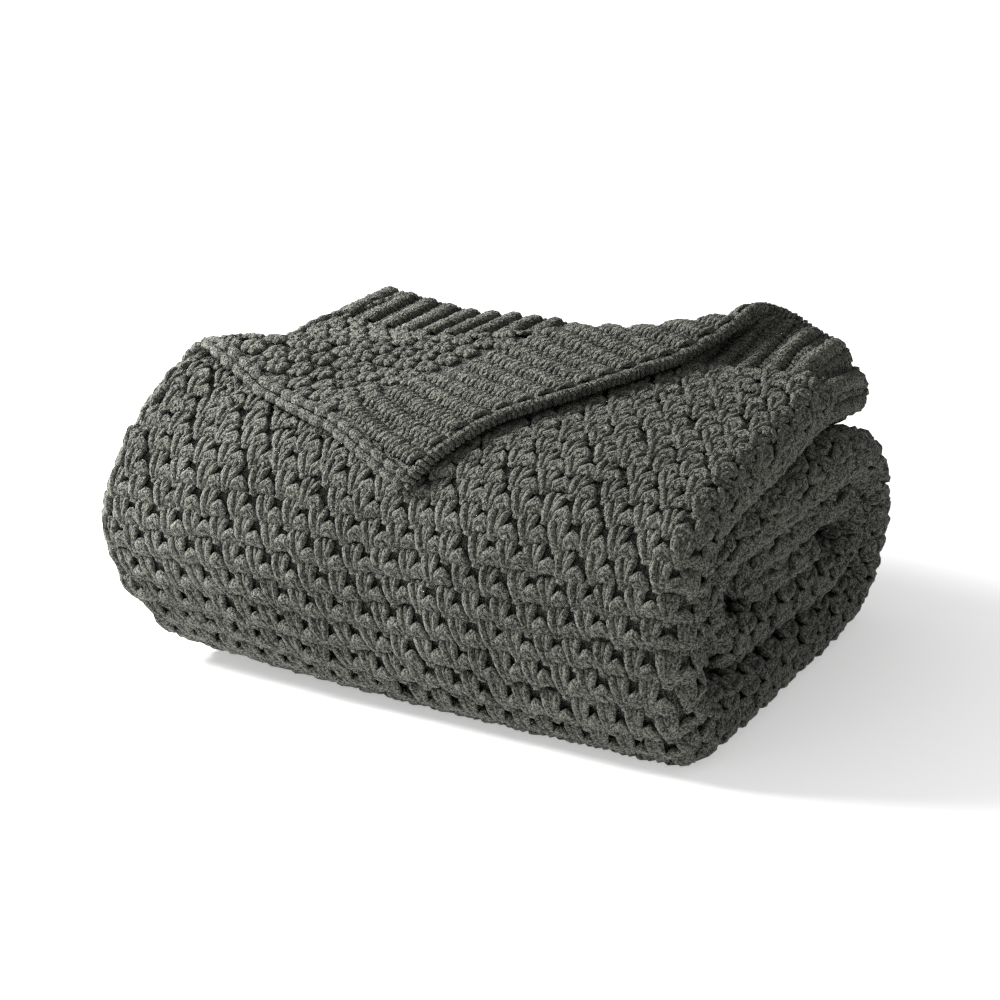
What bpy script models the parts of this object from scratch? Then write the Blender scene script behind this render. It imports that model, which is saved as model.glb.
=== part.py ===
"""Chunky knit blanket, folded in four lengthwise and rolled over into flat bands.

The strip of four plies starts at its hem at the back of the top band, comes forward, turns down
the front, runs back along the floor, turns up the back wall and winds inwards. The corner of the
top ply is turned over towards the front. X runs along the fold, Y towards the back, Z up.
"""

import bpy
import bmesh
import math
import numpy as np
from mathutils import Matrix

# Driving dimensions, in metres.
WIDTH = 0.570            # the folded strip, from its selvages to its last bight
PLY = 0.0115             # one ply of the knit
CENTRE = (0.2863, 0.1941)    # middle of the folded blanket on the floor, in the strip's own frame

# The strip's middle line, a row for each run and turn: y, z and thickness of the strip, how far its
# outer face swells, what the left end adds in y and z, what the middle adds in z, how far the left
# and right ends lie from 0 and from the width, and the steps to the next row.
FOLD_COLUMNS = ("y", "z", "thick", "swell", "skew_y", "skew_z", "belly", "left", "right")
FOLDS = (
    ("hem", 0.390, 0.2250, 0.046, 0.000, 0.030, 0.014, -0.010, 0.014, -0.014, 3),
    ("top back", 0.290, 0.2325, 0.046, 0.000, 0.015, 0.005, -0.006, 0.008, -0.010, 3),
    ("top middle", 0.160, 0.2170, 0.046, 0.000, 0.000, 0.003, -0.002, 0.000, -0.004, 3),
    ("top front", 0.060, 0.2025, 0.046, 0.000, 0.000, 0.003, 0.000, -0.004, 0.002, 4),
    ("shoulder", 0.008, 0.1750, 0.046, 0.000, 0.004, -0.004, 0.000, -0.006, 0.004, 3),
    ("front wall", -0.014, 0.1040, 0.047, 0.000, -0.001, 0.000, 0.000, -0.004, 0.004, 3),
    ("front foot", -0.003, 0.0370, 0.045, 0.010, 0.000, 0.000, 0.000, 0.038, 0.007, 3),
    ("floor front", 0.045, 0.0250, 0.050, 0.001, 0.000, 0.000, 0.000, 0.058, 0.004, 2),
    ("floor middle", 0.190, 0.0245, 0.050, 0.000, 0.000, 0.000, 0.000, 0.044, 0.000, 2),
    ("floor back", 0.330, 0.0250, 0.050, 0.000, 0.000, 0.000, 0.000, 0.030, 0.002, 3),
    ("back foot", 0.382, 0.0410, 0.046, 0.008, 0.004, 0.000, 0.000, 0.014, 0.006, 3),
    ("back wall", 0.398, 0.1070, 0.046, 0.000, 0.008, 0.000, 0.000, 0.000, 0.010, 3),
    ("back shoulder", 0.371, 0.1610, 0.045, 0.000, 0.006, 0.002, -0.006, 0.000, 0.010, 2),
    ("second back", 0.318, 0.1810, 0.044, 0.000, 0.002, 0.002, -0.006, 0.002, 0.008, 3),
    ("second middle", 0.190, 0.1735, 0.041, 0.000, 0.000, 0.000, -0.002, 0.003, 0.002, 3),
    ("second front", 0.090, 0.1590, 0.037, 0.000, 0.000, 0.000, 0.000, 0.004, -0.004, 2),
    ("inner front upper", 0.058, 0.1470, 0.034, 0.000, 0.000, 0.000, 0.000, 0.004, -0.005, 2),
    ("inner front turn", 0.045, 0.1190, 0.032, 0.000, 0.000, 0.000, 0.000, 0.005, -0.006, 2),
    ("inner front lower", 0.058, 0.0890, 0.034, 0.000, 0.000, 0.000, 0.000, 0.005, -0.006, 2),
    ("fifth front", 0.090, 0.0740, 0.037, 0.000, 0.000, 0.000, 0.000, 0.006, -0.006, 2),
    ("fifth middle", 0.190, 0.0745, 0.037, 0.000, 0.000, 0.000, 0.000, 0.006, -0.008, 2),
    ("fifth back", 0.315, 0.0750, 0.036, 0.000, 0.000, 0.000, 0.000, 0.004, -0.006, 2),
    ("inner back lower", 0.338, 0.0860, 0.032, 0.000, 0.000, 0.000, -0.001, 0.004, -0.003, 2),
    ("inner back turn", 0.348, 0.1090, 0.029, 0.000, 0.000, 0.000, -0.002, 0.003, 0.000, 2),
    ("inner back upper", 0.338, 0.1300, 0.029, 0.000, 0.000, 0.000, -0.003, 0.003, -0.002, 2),
    ("third back", 0.315, 0.1395, 0.028, 0.000, 0.000, 0.000, -0.004, 0.004, -0.004, 2),
    ("third middle", 0.210, 0.1360, 0.028, 0.000, 0.000, 0.000, -0.002, 0.006, -0.008, 2),
    ("third front", 0.145, 0.1320, 0.020, 0.000, 0.000, 0.000, 0.000, 0.008, -0.010, 2),
    ("core turn", 0.129, 0.1190, 0.011, 0.000, 0.000, 0.000, 0.000, 0.010, -0.012, 2),
    ("core front", 0.145, 0.1060, 0.014, 0.000, 0.000, 0.000, 0.000, 0.010, -0.012, 2),
    ("core middle", 0.200, 0.1075, 0.018, 0.000, 0.000, 0.000, 0.000, 0.009, -0.010, 2),
    ("core end", 0.268, 0.1085, 0.020, 0.000, 0.000, 0.000, -0.001, 0.008, -0.006, 1),
)

# Slow waves that leave the stack uneven: the axis moved, how far, the waves in each metre along
# x, y and z, and where the wave starts. They fade out towards the floor.
WAVES = (
    (2, 0.0030, 2.4, 1.1, 0.0, 0.6),
    (2, 0.0018, 5.2, -3.0, 0.0, 2.1),
    (1, 0.0028, 3.0, 0.0, 2.0, 1.1),
    (1, 0.0014, 6.7, 0.0, -3.0, 4.0),
)
WAVE_FULL_HEIGHT = 0.12

# The levels through the strip, from its outer face inwards: depth as a share of the thickness,
# how far the left edge draws in, and how far the hem's edge stands out.
LEVEL_COLUMNS = ("depth", "draw_in", "stand_out")
LEVELS = (
    (0.000, 0.0040, 0.0000),
    (0.125, 0.0000, 0.0050),
    (0.250, 0.0060, -0.0020),
    (0.375, 0.0005, 0.0050),
    (0.500, 0.0070, -0.0020),
    (0.625, 0.0010, 0.0050),
    (0.750, 0.0000, -0.0015),
    (0.875, 0.0010, 0.0050),
    (1.000, 0.0060, 0.0000),
)
DROP_AT_LEVEL = (0.80, 0.36)     # how far the two outermost levels sink where the ply has lifted
COLUMNS_ACROSS = 11
SURFACE_COLUMNS = 13

# The turned corner: where the crease meets the left selvage and the hem, measured from the corner.
CREASE_ON_SELVAGE = 0.330
CREASE_ON_HEM = 0.478
CREASE_ANGLE = math.atan2(CREASE_ON_SELVAGE, CREASE_ON_HEM)
CORNER_TO_CREASE = CREASE_ON_HEM * math.sin(CREASE_ANGLE)
CREASE_LENGTH = math.hypot(CREASE_ON_SELVAGE, CREASE_ON_HEM)

# The fold across the crease, a row for each place along it from the selvage (0) to the hem (1):
# where the ply lifts off and how steeply, its furthest point back and the crest above, each as a
# distance from the crease line and a height, and where the flap lies down again.
CREASE_COLUMNS = ("along", "lift", "rise", "back", "back_height", "crest", "crest_height", "fall")
CREASE = (
    (-0.12, -0.054, 1.0, 0.006, 0.024, -0.012, 0.036, -0.080),
    (0.00, -0.046, 0.6, 0.006, 0.020, -0.010, 0.034, -0.080),
    (0.25, -0.038, 0.1, 0.010, 0.018, -0.003, 0.036, -0.090),
    (0.50, -0.036, 0.0, 0.008, 0.014, -0.005, 0.029, -0.080),
    (0.75, -0.040, 0.0, 0.003, 0.009, -0.010, 0.015, -0.070),
    (0.88, -0.070, 0.2, 0.000, 0.018, -0.014, 0.028, -0.110),
    (1.00, -0.098, 1.0, -0.004, 0.052, -0.020, 0.074, -0.170),
    (1.14, -0.030, 1.6, 0.000, 0.050, -0.020, 0.070, -0.170),
)
FLAP_GAP = 0.0012        # the flap lies this far above the ply under it
FLAP_SHEAR = 0.034       # how far the knit shears along the crease as it lies down
ROOT_DEPTH = 0.0040      # the flap's root is sunk this far into the band

# The ribbed border along the hem.
RIB_PITCH = 0.025
RIB_RISE = 0.0032
RIB_BORDER = 0.096
RIB_PROFILE = (1.0, 0.85, -1.0)      # the rise at each third of a rib's pitch
FLAP_ROWS_BEFORE = 5
FLAP_ROWS_FOLD = 9
EDGE_ROUND = 0.0045
PANEL_START = 0.006
PANEL_DEPTH = 0.0075      # the second ply's border lies this far under the top ply's face
PANEL_ROWS = 3


def column(rows, names, name, offset=0):
    """One named column of a table as an array."""
    return np.array([row[names.index(name) + offset] for row in rows], float)


def smooth_curve(values, steps):
    """A smooth curve through the rows, whose first two values are a place, in the given steps."""
    knots = np.linalg.norm(np.diff(values[:, :2], axis=0), axis=1) ** 0.7
    slopes = np.diff(values, axis=0) / knots[:, None]
    before, after = knots[:-1, None], knots[1:, None]
    middle = (slopes[:-1] * after + slopes[1:] * before) / (before + after)
    rates = np.vstack([slopes[:1], middle, slopes[-1:]])
    out = []
    for i, count in enumerate(steps):
        t = (np.arange(count) / count)[:, None]
        out.append((2 * t ** 3 - 3 * t ** 2 + 1) * values[i]
                   + (t ** 3 - 2 * t ** 2 + t) * knots[i] * rates[i]
                   + (3 * t ** 2 - 2 * t ** 3) * values[i + 1]
                   + (t ** 3 - t ** 2) * knots[i] * rates[i + 1])
    return np.vstack(out + [values[-1:]])


def fold_line(refine=1):
    """The strip's middle line and widths as named arrays, one value for each station."""
    values = np.array([row[1:1 + len(FOLD_COLUMNS)] for row in FOLDS], float)
    steps = [row[-1] * refine for row in FOLDS[:-1]]
    smooth = smooth_curve(values, steps)
    return {name: smooth[:, i] for i, name in enumerate(FOLD_COLUMNS)}


def unevenness(points):
    """Move points by the slow waves."""
    moved = points.copy()
    fade = np.clip(points[..., 2] / WAVE_FULL_HEIGHT, 0.0, 1.0)
    fade = fade * fade * (3 - 2 * fade)
    for axis, reach, along_x, along_y, along_z, phase in WAVES:
        turns = points[..., 0] * along_x + points[..., 1] * along_y + points[..., 2] * along_z
        moved[..., axis] += reach * fade * np.sin(2 * math.pi * turns + phase)
    return moved


def strip_points(line, x, depth):
    """Points of the strip at each station, for x and depth given for each station and place."""
    from_right = 1.0 - x / WIDTH
    y = line["y"][:, None] + from_right ** 2 * line["skew_y"][:, None]
    z = (line["z"][:, None] + from_right ** 2 * line["skew_z"][:, None]
         + 4 * from_right * (1 - from_right) * line["belly"][:, None])
    run_y = np.gradient(y, axis=0)
    run_z = np.gradient(z, axis=0)
    length = np.hypot(run_y, run_z)
    out_y = run_z / length
    out_z = -run_y / length
    offset = (0.5 - depth) * line["thick"][:, None]
    offset += np.clip(1 - 2 * depth, 0, 1) * line["swell"][:, None]
    points = np.stack([x, y + out_y * offset, z + out_z * offset], axis=-1)
    return points, np.stack([run_y / length, run_z / length], axis=-1)


def top_surface():
    """The outer face of the top band and the front, by x and the distance from the hem."""
    line = fold_line(refine=6)
    keep = 6 * sum(row[-1] for row in FOLDS[:6])
    line = {name: values[:keep] for name, values in line.items()}
    x_known = np.linspace(0.0, WIDTH, SURFACE_COLUMNS)
    x = np.tile(x_known, (keep, 1))
    points, _ = strip_points(line, x, np.zeros_like(x))
    gaps = np.linalg.norm(np.diff(points[..., 1:], axis=0), axis=-1)
    far = np.vstack([np.zeros(SURFACE_COLUMNS), np.cumsum(gaps, axis=0)])
    slope = (points[1, :, 1:] - points[0, :, 1:]) / far[1][:, None]

    def place(x, d):
        at_known = []
        for k in range(SURFACE_COLUMNS):
            yz = [np.interp(d, far[:, k], points[:, k, axis]) for axis in (1, 2)]
            beyond = np.minimum(d, 0.0)
            at_known.append([yz[0] + slope[k, 0] * beyond, yz[1] + slope[k, 1] * beyond])
        at_known = np.array(at_known)
        spot = np.clip(x / WIDTH, 0, 1) * (SURFACE_COLUMNS - 1)
        low = np.clip(np.floor(spot).astype(int), 0, SURFACE_COLUMNS - 2)
        share = spot - low
        index = np.indices(np.shape(x))
        pick = [at_known[(low + step, axis) + tuple(index)] for axis in (0, 1) for step in (0, 1)]
        y = pick[0] * (1 - share) + pick[1] * share
        z = pick[2] * (1 - share) + pick[3] * share
        return np.stack([x, y, z], axis=-1)

    def surface(x, d, height):
        step = 0.006
        base = unevenness(place(x, d))
        along_x = unevenness(place(x + step, d)) - unevenness(place(x - step, d))
        along_d = unevenness(place(x, d + step)) - unevenness(place(x, d - step))
        normal = np.cross(along_d, along_x)
        normal /= np.linalg.norm(normal, axis=-1, keepdims=True)
        return base + normal * height[..., None]

    return surface


def crease_value(name, along):
    """A value of the crease's table at places along it."""
    return np.interp(along, column(CREASE, CREASE_COLUMNS, "along"),
                     column(CREASE, CREASE_COLUMNS, name))


def crease_frame(across, from_hem):
    """Distance past the crease towards the corner, and the place along the crease, 0 to 1."""
    past = CORNER_TO_CREASE - (across * math.sin(CREASE_ANGLE) + from_hem * math.cos(CREASE_ANGLE))
    along = (across * math.cos(CREASE_ANGLE)
             + (CREASE_ON_SELVAGE - from_hem) * math.sin(CREASE_ANGLE)) / CREASE_LENGTH
    return past, along


def fold_section(along, past):
    """Where the ply lies across the crease: distance and height, for cloth so far past it."""
    rest = PLY + FLAP_GAP
    lift = float(crease_value("lift", along))
    rise = math.atan(float(crease_value("rise", along)))
    nodes = np.array([
        (lift, 0.0, math.cos(rise), math.sin(rise)),
        (float(crease_value("back", along)), float(crease_value("back_height", along)), 0.0, 1.0),
        (float(crease_value("crest", along)), float(crease_value("crest_height", along)), -1.0, 0.0),
        (float(crease_value("fall", along)), rest, -1.0, 0.0),
    ])
    pieces = []
    for start, end in zip(nodes[:-1], nodes[1:]):
        chord = np.linalg.norm(end[:2] - start[:2])
        t = np.linspace(0, 1, 16, endpoint=False)[:, None]
        pieces.append((2 * t ** 3 - 3 * t ** 2 + 1) * start[:2]
                      + (t ** 3 - 2 * t ** 2 + t) * chord * start[2:]
                      + (3 * t ** 2 - 2 * t ** 3) * end[:2]
                      + (t ** 3 - t ** 2) * chord * end[2:])
    curve = np.vstack(pieces + [nodes[-1][None, :2]])
    walked = np.concatenate([[0], np.cumsum(np.linalg.norm(np.diff(curve, axis=0), axis=1))])
    reach = past - lift
    if reach <= 0:
        return past, 0.0
    if reach >= walked[-1]:
        return curve[-1, 0] - (reach - walked[-1]), rest
    return np.interp(reach, walked, curve[:, 0]), np.interp(reach, walked, curve[:, 1])


def new_solid(name, points, faces):
    """A mesh object from points and faces, with its faces pointing out."""
    mesh = bpy.data.meshes.new(name)
    mesh.from_pydata([tuple(p) for p in points], [], faces)
    work = bmesh.new()
    work.from_mesh(mesh)
    bmesh.ops.recalc_face_normals(work, faces=work.faces)
    bmesh.ops.triangulate(work, faces=work.faces)
    work.to_mesh(mesh)
    work.free()
    solid = bpy.data.objects.new(name, mesh)
    bpy.context.scene.collection.objects.link(solid)
    return solid


def grid_faces(grid):
    """Quads of a grid of point numbers."""
    return [(grid[i][j], grid[i][j + 1], grid[i + 1][j + 1], grid[i + 1][j])
            for i in range(len(grid) - 1) for j in range(len(grid[0]) - 1)]


def folded_strip():
    """The rolled strip: rings of points along its length, closed by a ribbed edge at each end."""
    line = fold_line()
    stations = len(line["y"])
    depth = column(LEVELS, LEVEL_COLUMNS, "depth")
    draw_in = column(LEVELS, LEVEL_COLUMNS, "draw_in")
    stand_out = column(LEVELS, LEVEL_COLUMNS, "stand_out")
    half = line["thick"][:, None] / 2
    left = line["left"][:, None] + draw_in[None, :]
    swell = np.sqrt(np.clip(1 - (1 - 2 * depth[None, :]) ** 2, 0, 1))
    right = WIDTH + line["right"][:, None] - half + half * swell
    share = np.linspace(0, 1, COLUMNS_ACROSS)
    x = left[:, None, :] + (right - left)[:, None, :] * share[None, :, None]
    flat_x = x.reshape(stations, -1)
    flat_depth = np.tile(depth, COLUMNS_ACROSS)[None, :].repeat(stations, 0)
    points, runs = strip_points(line, flat_x, flat_depth)
    shape = (stations, COLUMNS_ACROSS, len(depth))
    points = points.reshape(shape + (3,))
    runs = runs.reshape(shape + (2,))
    inside = (slice(1, -1), slice(1, -1))
    for end, sign in ((0, -1), (-1, 1)):
        points[end][inside][..., 1:] += sign * runs[end][inside] * stand_out[None, 1:-1, None]
    points = unevenness(points)
    points[..., 2] = np.where(points[..., 2] < 0.0004, 0.0, points[..., 2])
    points = drop_top(points)
    last = len(depth) - 1
    ring = [(k, 0) for k in range(COLUMNS_ACROSS)]
    ring += [(COLUMNS_ACROSS - 1, level) for level in range(1, last)]
    ring += [(k, last) for k in reversed(range(COLUMNS_ACROSS))]
    ring += [(0, level) for level in range(last - 1, 0, -1)]
    number = {}
    used = []

    def point_number(station, k, level):
        key = (station, k, level)
        if key not in number:
            number[key] = len(used)
            used.append(points[key])
        return number[key]

    rings = [[point_number(s, k, level) for k, level in ring + ring[:1]] for s in range(stations)]
    faces = grid_faces(rings)
    for end in (0, stations - 1):
        cap = [[point_number(end, k, level) for level in range(last + 1)]
               for k in range(COLUMNS_ACROSS)]
        faces += grid_faces(cap)
    return new_solid("strip", used, faces)


def drop_top(points):
    """Lower the top face by a ply where the top ply has lifted away to form the flap."""
    steps = sum(row[-1] for row in FOLDS[:4]) + 1
    top = points[:steps, :, 0]
    gaps = np.linalg.norm(np.diff(top, axis=0), axis=-1)
    from_hem = np.vstack([np.zeros(COLUMNS_ACROSS), np.cumsum(gaps, axis=0)])
    past, along = crease_frame(top[..., 0], from_hem)
    lift = crease_value("lift", along)
    share = np.clip((past - lift * 0.5) / 0.020, 0, 1)
    for level, drop in enumerate(DROP_AT_LEVEL):
        points[:steps, :, level, 2] -= PLY * drop * share
    return points


def turned_corner(surface):
    """The ply's corner: its root in the band, the curl over the crease and the flap, with ribs."""
    thirds = int(3 * (WIDTH - 0.018) / RIB_PITCH)
    across = np.arange(thirds + 1) * RIB_PITCH / 3
    rows = FLAP_ROWS_BEFORE + FLAP_ROWS_FOLD + 1
    middle = np.zeros((len(across), rows, 4))
    for i, x in enumerate(across):
        fold_at = CREASE_ON_SELVAGE * (1 - x / CREASE_ON_HEM)
        _, along = crease_frame(x, max(fold_at, 0.0))
        _, root_along = crease_frame(x, fold_at + 0.080)
        root = fold_at + (0.012 - float(crease_value("lift", root_along))) / math.cos(CREASE_ANGLE)
        root = max(root, 0.030)
        before = max(fold_at - 0.055, 0.010)
        from_hem = np.concatenate([
            np.linspace(0, before, FLAP_ROWS_BEFORE, endpoint=False),
            np.linspace(before, root, FLAP_ROWS_FOLD + 1),
        ])
        for j, y in enumerate(from_hem):
            past, along = crease_frame(x, y)
            distance, height = fold_section(along, past)
            back = past - distance
            shear = FLAP_SHEAR * back
            place_x = x + back * math.sin(CREASE_ANGLE) + shear * math.cos(CREASE_ANGLE)
            place_d = y + back * math.cos(CREASE_ANGLE) - shear * math.sin(CREASE_ANGLE)
            root_share = np.clip((float(crease_value("lift", along)) + 0.006 - past) / 0.012, 0, 1)
            middle[i, j] = (place_x, place_d, height - root_share * ROOT_DEPTH, y)
    base = surface(middle[..., 0], middle[..., 1], middle[..., 2] - PLY / 2)
    along_i = np.gradient(base, axis=0)
    along_j = np.gradient(base, axis=1)
    normal = np.cross(along_j, along_i)
    normal /= np.linalg.norm(normal, axis=-1, keepdims=True)
    rib = np.array([RIB_PROFILE[i % 3] for i in range(len(across))])[:, None]
    fade = np.clip((RIB_BORDER - middle[..., 3]) / 0.010, 0, 1) * np.clip(middle[..., 3] / 0.012, 0, 1)
    half = PLY / 2 + rib * fade * RIB_RISE / 2
    over = base + normal * half[..., None]
    under = base - normal * half[..., None]
    return sheet_solid("flap", over, base, under)


def sheet_solid(name, over, middle, under):
    """A sheet from its two faces, with its edges rounded outwards."""
    rows, cols = middle.shape[:2]
    points = list(over.reshape(-1, 3)) + list(under.reshape(-1, 3))
    top = np.arange(rows * cols).reshape(rows, cols)
    bottom = top + rows * cols
    faces = grid_faces(top) + grid_faces(bottom)
    border = [(i, 0) for i in range(rows)] + [(rows - 1, j) for j in range(1, cols)]
    border += [(i, cols - 1) for i in range(rows - 2, -1, -1)]
    border += [(0, j) for j in range(cols - 2, 0, -1)]
    edge = []
    for i, j in border:
        inner = middle[min(max(i, 1), rows - 2), min(max(j, 1), cols - 2)]
        out = middle[i, j] - inner
        edge.append(len(points))
        points.append(middle[i, j] + out / np.linalg.norm(out) * EDGE_ROUND)
    count = len(border)
    for n, (i, j) in enumerate(border):
        i2, j2 = border[(n + 1) % count]
        faces.append((top[i, j], top[i2, j2], edge[(n + 1) % count], edge[n]))
        faces.append((edge[n], edge[(n + 1) % count], bottom[i2, j2], bottom[i, j]))
    return new_solid(name, points, faces)


def rib_panel(surface):
    """The second ply's ribbed border, which shows behind the crease."""
    thirds = int(round(3 * (CREASE_ON_HEM + 0.060) / RIB_PITCH))
    across = np.arange(thirds + 1) * RIB_PITCH / 3 + PANEL_START
    from_hem = np.linspace(0.004, RIB_BORDER, PANEL_ROWS)
    x, d = np.meshgrid(across, from_hem, indexing="ij")
    rib = np.array([RIB_PROFILE[i % 3] for i in range(len(across))])[:, None]
    rise = np.broadcast_to(rib * RIB_RISE / 2, x.shape)
    over = surface(x, d, rise - PANEL_DEPTH)
    base = surface(x, d, np.full_like(x, -1.5 * PLY))
    under = surface(x, d, np.full_like(x, -2.0 * PLY))
    return sheet_solid("panel", over, base, under)


def join(body, other):
    """Union of two solids into the first."""
    union = body.modifiers.new("union", "BOOLEAN")
    union.operation = "UNION"
    union.solver = "EXACT"
    union.object = other
    bpy.context.view_layer.update()
    joined = bpy.data.meshes.new_from_object(body.evaluated_get(bpy.context.evaluated_depsgraph_get()))
    body.modifiers.remove(union)
    body.data = joined
    bpy.data.objects.remove(other)
    return body


def knit_material():
    """Dark grey-green chenille."""
    material = bpy.data.materials.new("chenille_knit")
    material.use_nodes = True
    shader = material.node_tree.nodes["Principled BSDF"]
    shader.inputs["Base Color"].default_value = (0.070, 0.076, 0.068, 1.0)
    shader.inputs["Roughness"].default_value = 0.95
    shader.inputs["Metallic"].default_value = 0.0
    return material


def main():
    """Build the blanket as one solid."""
    for old in list(bpy.data.objects):
        bpy.data.objects.remove(old)
    surface = top_surface()
    blanket = folded_strip()
    for extra in (turned_corner(surface), rib_panel(surface)):
        blanket = join(blanket, extra)
    blanket.name = "blanket"
    blanket.data.name = "blanket"
    blanket.data.materials.clear()
    blanket.data.materials.append(knit_material())
    blanket.data.transform(Matrix.Translation((-CENTRE[0], -CENTRE[1], 0.0)))
    blanket.data.shade_smooth()
    blanket.data.set_sharp_from_angle(angle=math.radians(50))


main()
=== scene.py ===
"""Folded chunky knit blanket.

A chenille blanket folded in four lengthwise and rolled over into flat bands, with the corner of
its top ply turned over. The cloth is one folded sheet, and every stitch is a piece of yarn that
Geometry Nodes lay out flat and carry onto the folds. X runs along the fold, Y towards the back.
"""

import math

import bmesh
import bpy
import numpy as np
from bpy.props import FloatProperty, FloatVectorProperty, IntProperty, PointerProperty
from bpy.types import Operator, Panel, PropertyGroup
from mathutils import Matrix, Vector


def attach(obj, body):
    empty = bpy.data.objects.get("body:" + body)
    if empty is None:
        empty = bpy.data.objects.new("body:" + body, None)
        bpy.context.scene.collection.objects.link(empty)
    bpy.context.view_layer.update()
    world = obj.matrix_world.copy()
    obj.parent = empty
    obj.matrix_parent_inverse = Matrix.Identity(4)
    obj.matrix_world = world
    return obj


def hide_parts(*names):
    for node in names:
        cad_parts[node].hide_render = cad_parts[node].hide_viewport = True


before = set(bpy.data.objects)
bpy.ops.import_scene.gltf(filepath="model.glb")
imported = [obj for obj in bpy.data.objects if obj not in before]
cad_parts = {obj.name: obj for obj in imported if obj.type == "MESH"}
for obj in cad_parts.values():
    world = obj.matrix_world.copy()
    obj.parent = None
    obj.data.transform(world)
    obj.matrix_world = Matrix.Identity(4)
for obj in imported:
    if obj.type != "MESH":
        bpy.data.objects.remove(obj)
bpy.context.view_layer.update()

bl_info = {
    "name": "Folded chunky knit blanket",
    "version": (1, 0, 0),
    "blender": (4, 5, 0),
    "location": "3D View > Sidebar > Blanket",
    "description": "Builds a folded blanket of chunky chenille yarn, stitch by stitch",
    "category": "Object",
}

# The folded strip, in metres. A row of its folds is a name, the values of the columns and the
# number of steps to the next row. A few rows are fitted closer here than in the solid.
WIDTH = 0.570
PLY = 0.0115
CENTRE = (0.2863, 0.1941)
FOLD_COLUMNS = ("y", "z", "thick", "swell", "skew_y", "skew_z", "belly", "left", "right")
FOLDS = (
    ("hem", 0.390, 0.2250, 0.046, 0.000, 0.030, 0.024, 0.002, 0.024, -0.014, 3),
    ("top back", 0.290, 0.2325, 0.046, 0.000, 0.015, 0.005, -0.002, 0.008, -0.010, 3),
    ("top middle", 0.160, 0.2170, 0.046, 0.000, 0.000, 0.003, -0.002, 0.000, -0.004, 3),
    ("top front", 0.060, 0.2025, 0.046, 0.000, 0.000, 0.003, 0.000, -0.004, 0.002, 4),
    ("shoulder", 0.008, 0.1750, 0.046, 0.000, 0.004, -0.004, 0.000, -0.006, 0.004, 3),
    ("front wall", -0.014, 0.1040, 0.047, 0.000, 0.000, 0.000, 0.000, -0.003, 0.004, 3),
    ("front foot", -0.003, 0.0370, 0.045, 0.010, 0.014, 0.018, 0.000, 0.046, 0.012, 3),
    ("floor front", 0.045, 0.0250, 0.050, 0.001, 0.010, 0.011, 0.000, 0.078, 0.011, 2),
    ("floor middle", 0.190, 0.0245, 0.050, 0.000, 0.000, 0.003, 0.000, 0.056, 0.005, 2),
    ("floor back", 0.330, 0.0250, 0.050, 0.000, 0.000, 0.000, 0.000, 0.030, -0.003, 3),
    ("back foot", 0.382, 0.0410, 0.046, 0.008, 0.004, 0.000, 0.000, 0.014, -0.003, 3),
    ("back wall", 0.398, 0.1070, 0.046, 0.000, 0.008, 0.000, 0.000, 0.000, 0.005, 3),
    ("back shoulder", 0.371, 0.1610, 0.045, 0.000, 0.006, 0.002, -0.006, 0.000, 0.008, 2),
    ("second back", 0.318, 0.1810, 0.044, 0.000, 0.002, 0.002, -0.006, 0.002, 0.008, 3),
    ("second middle", 0.190, 0.1735, 0.041, 0.000, 0.000, 0.000, -0.002, 0.003, 0.002, 3),
    ("second front", 0.090, 0.1590, 0.037, 0.000, 0.000, 0.000, 0.000, 0.004, -0.004, 2),
    ("inner front upper", 0.058, 0.1470, 0.034, 0.000, 0.000, 0.000, 0.000, 0.004, -0.005, 2),
    ("inner front turn", 0.045, 0.1190, 0.032, 0.000, 0.000, 0.000, 0.000, 0.005, -0.006, 2),
    ("inner front lower", 0.058, 0.0890, 0.034, 0.000, 0.000, 0.000, 0.000, 0.005, -0.006, 2),
    ("fifth front", 0.090, 0.0740, 0.037, 0.000, 0.000, 0.000, 0.000, 0.006, -0.006, 2),
    ("fifth middle", 0.190, 0.0745, 0.037, 0.000, 0.000, 0.000, 0.000, 0.006, -0.008, 2),
    ("fifth back", 0.315, 0.0750, 0.036, 0.000, 0.000, 0.000, 0.000, 0.004, -0.006, 2),
    ("inner back lower", 0.338, 0.0860, 0.032, 0.000, 0.000, 0.000, -0.001, 0.004, -0.003, 2),
    ("inner back turn", 0.348, 0.1090, 0.029, 0.000, 0.000, 0.000, -0.002, 0.003, 0.000, 2),
    ("inner back upper", 0.338, 0.1300, 0.029, 0.000, 0.000, 0.000, -0.003, 0.003, -0.002, 2),
    ("third back", 0.315, 0.1395, 0.028, 0.000, 0.000, 0.000, -0.004, 0.004, -0.004, 2),
    ("third middle", 0.210, 0.1360, 0.028, 0.000, 0.000, 0.000, -0.002, 0.006, -0.008, 2),
    ("third front", 0.145, 0.1320, 0.020, 0.000, 0.000, 0.000, 0.000, 0.008, -0.010, 2),
    ("core turn", 0.129, 0.1190, 0.011, 0.000, 0.000, 0.000, 0.000, 0.010, -0.012, 2),
    ("core front", 0.145, 0.1060, 0.014, 0.000, 0.000, 0.000, 0.000, 0.010, -0.012, 2),
    ("core middle", 0.200, 0.1075, 0.018, 0.000, 0.000, 0.000, 0.000, 0.009, -0.010, 2),
    ("core end", 0.268, 0.1085, 0.020, 0.000, 0.000, 0.000, -0.001, 0.008, -0.006, 1),
)
ROW_NAMES = [row[0] for row in FOLDS]

# Slow waves that make the folds uneven: the axis that they move, how far, their turns in a metre
# along X, Y and Z, and a phase. Below their full height they fade out towards the floor.
WAVES = (
    (2, 0.0030, 2.4, 1.1, 0.0, 0.6),
    (2, 0.0018, 5.2, -3.0, 0.0, 2.1),
    (1, 0.0028, 3.0, 0.0, 2.0, 1.1),
    (1, 0.0014, 6.7, 0.0, -3.0, 4.0),
)
WAVE_FULL_HEIGHT = 0.12

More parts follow.
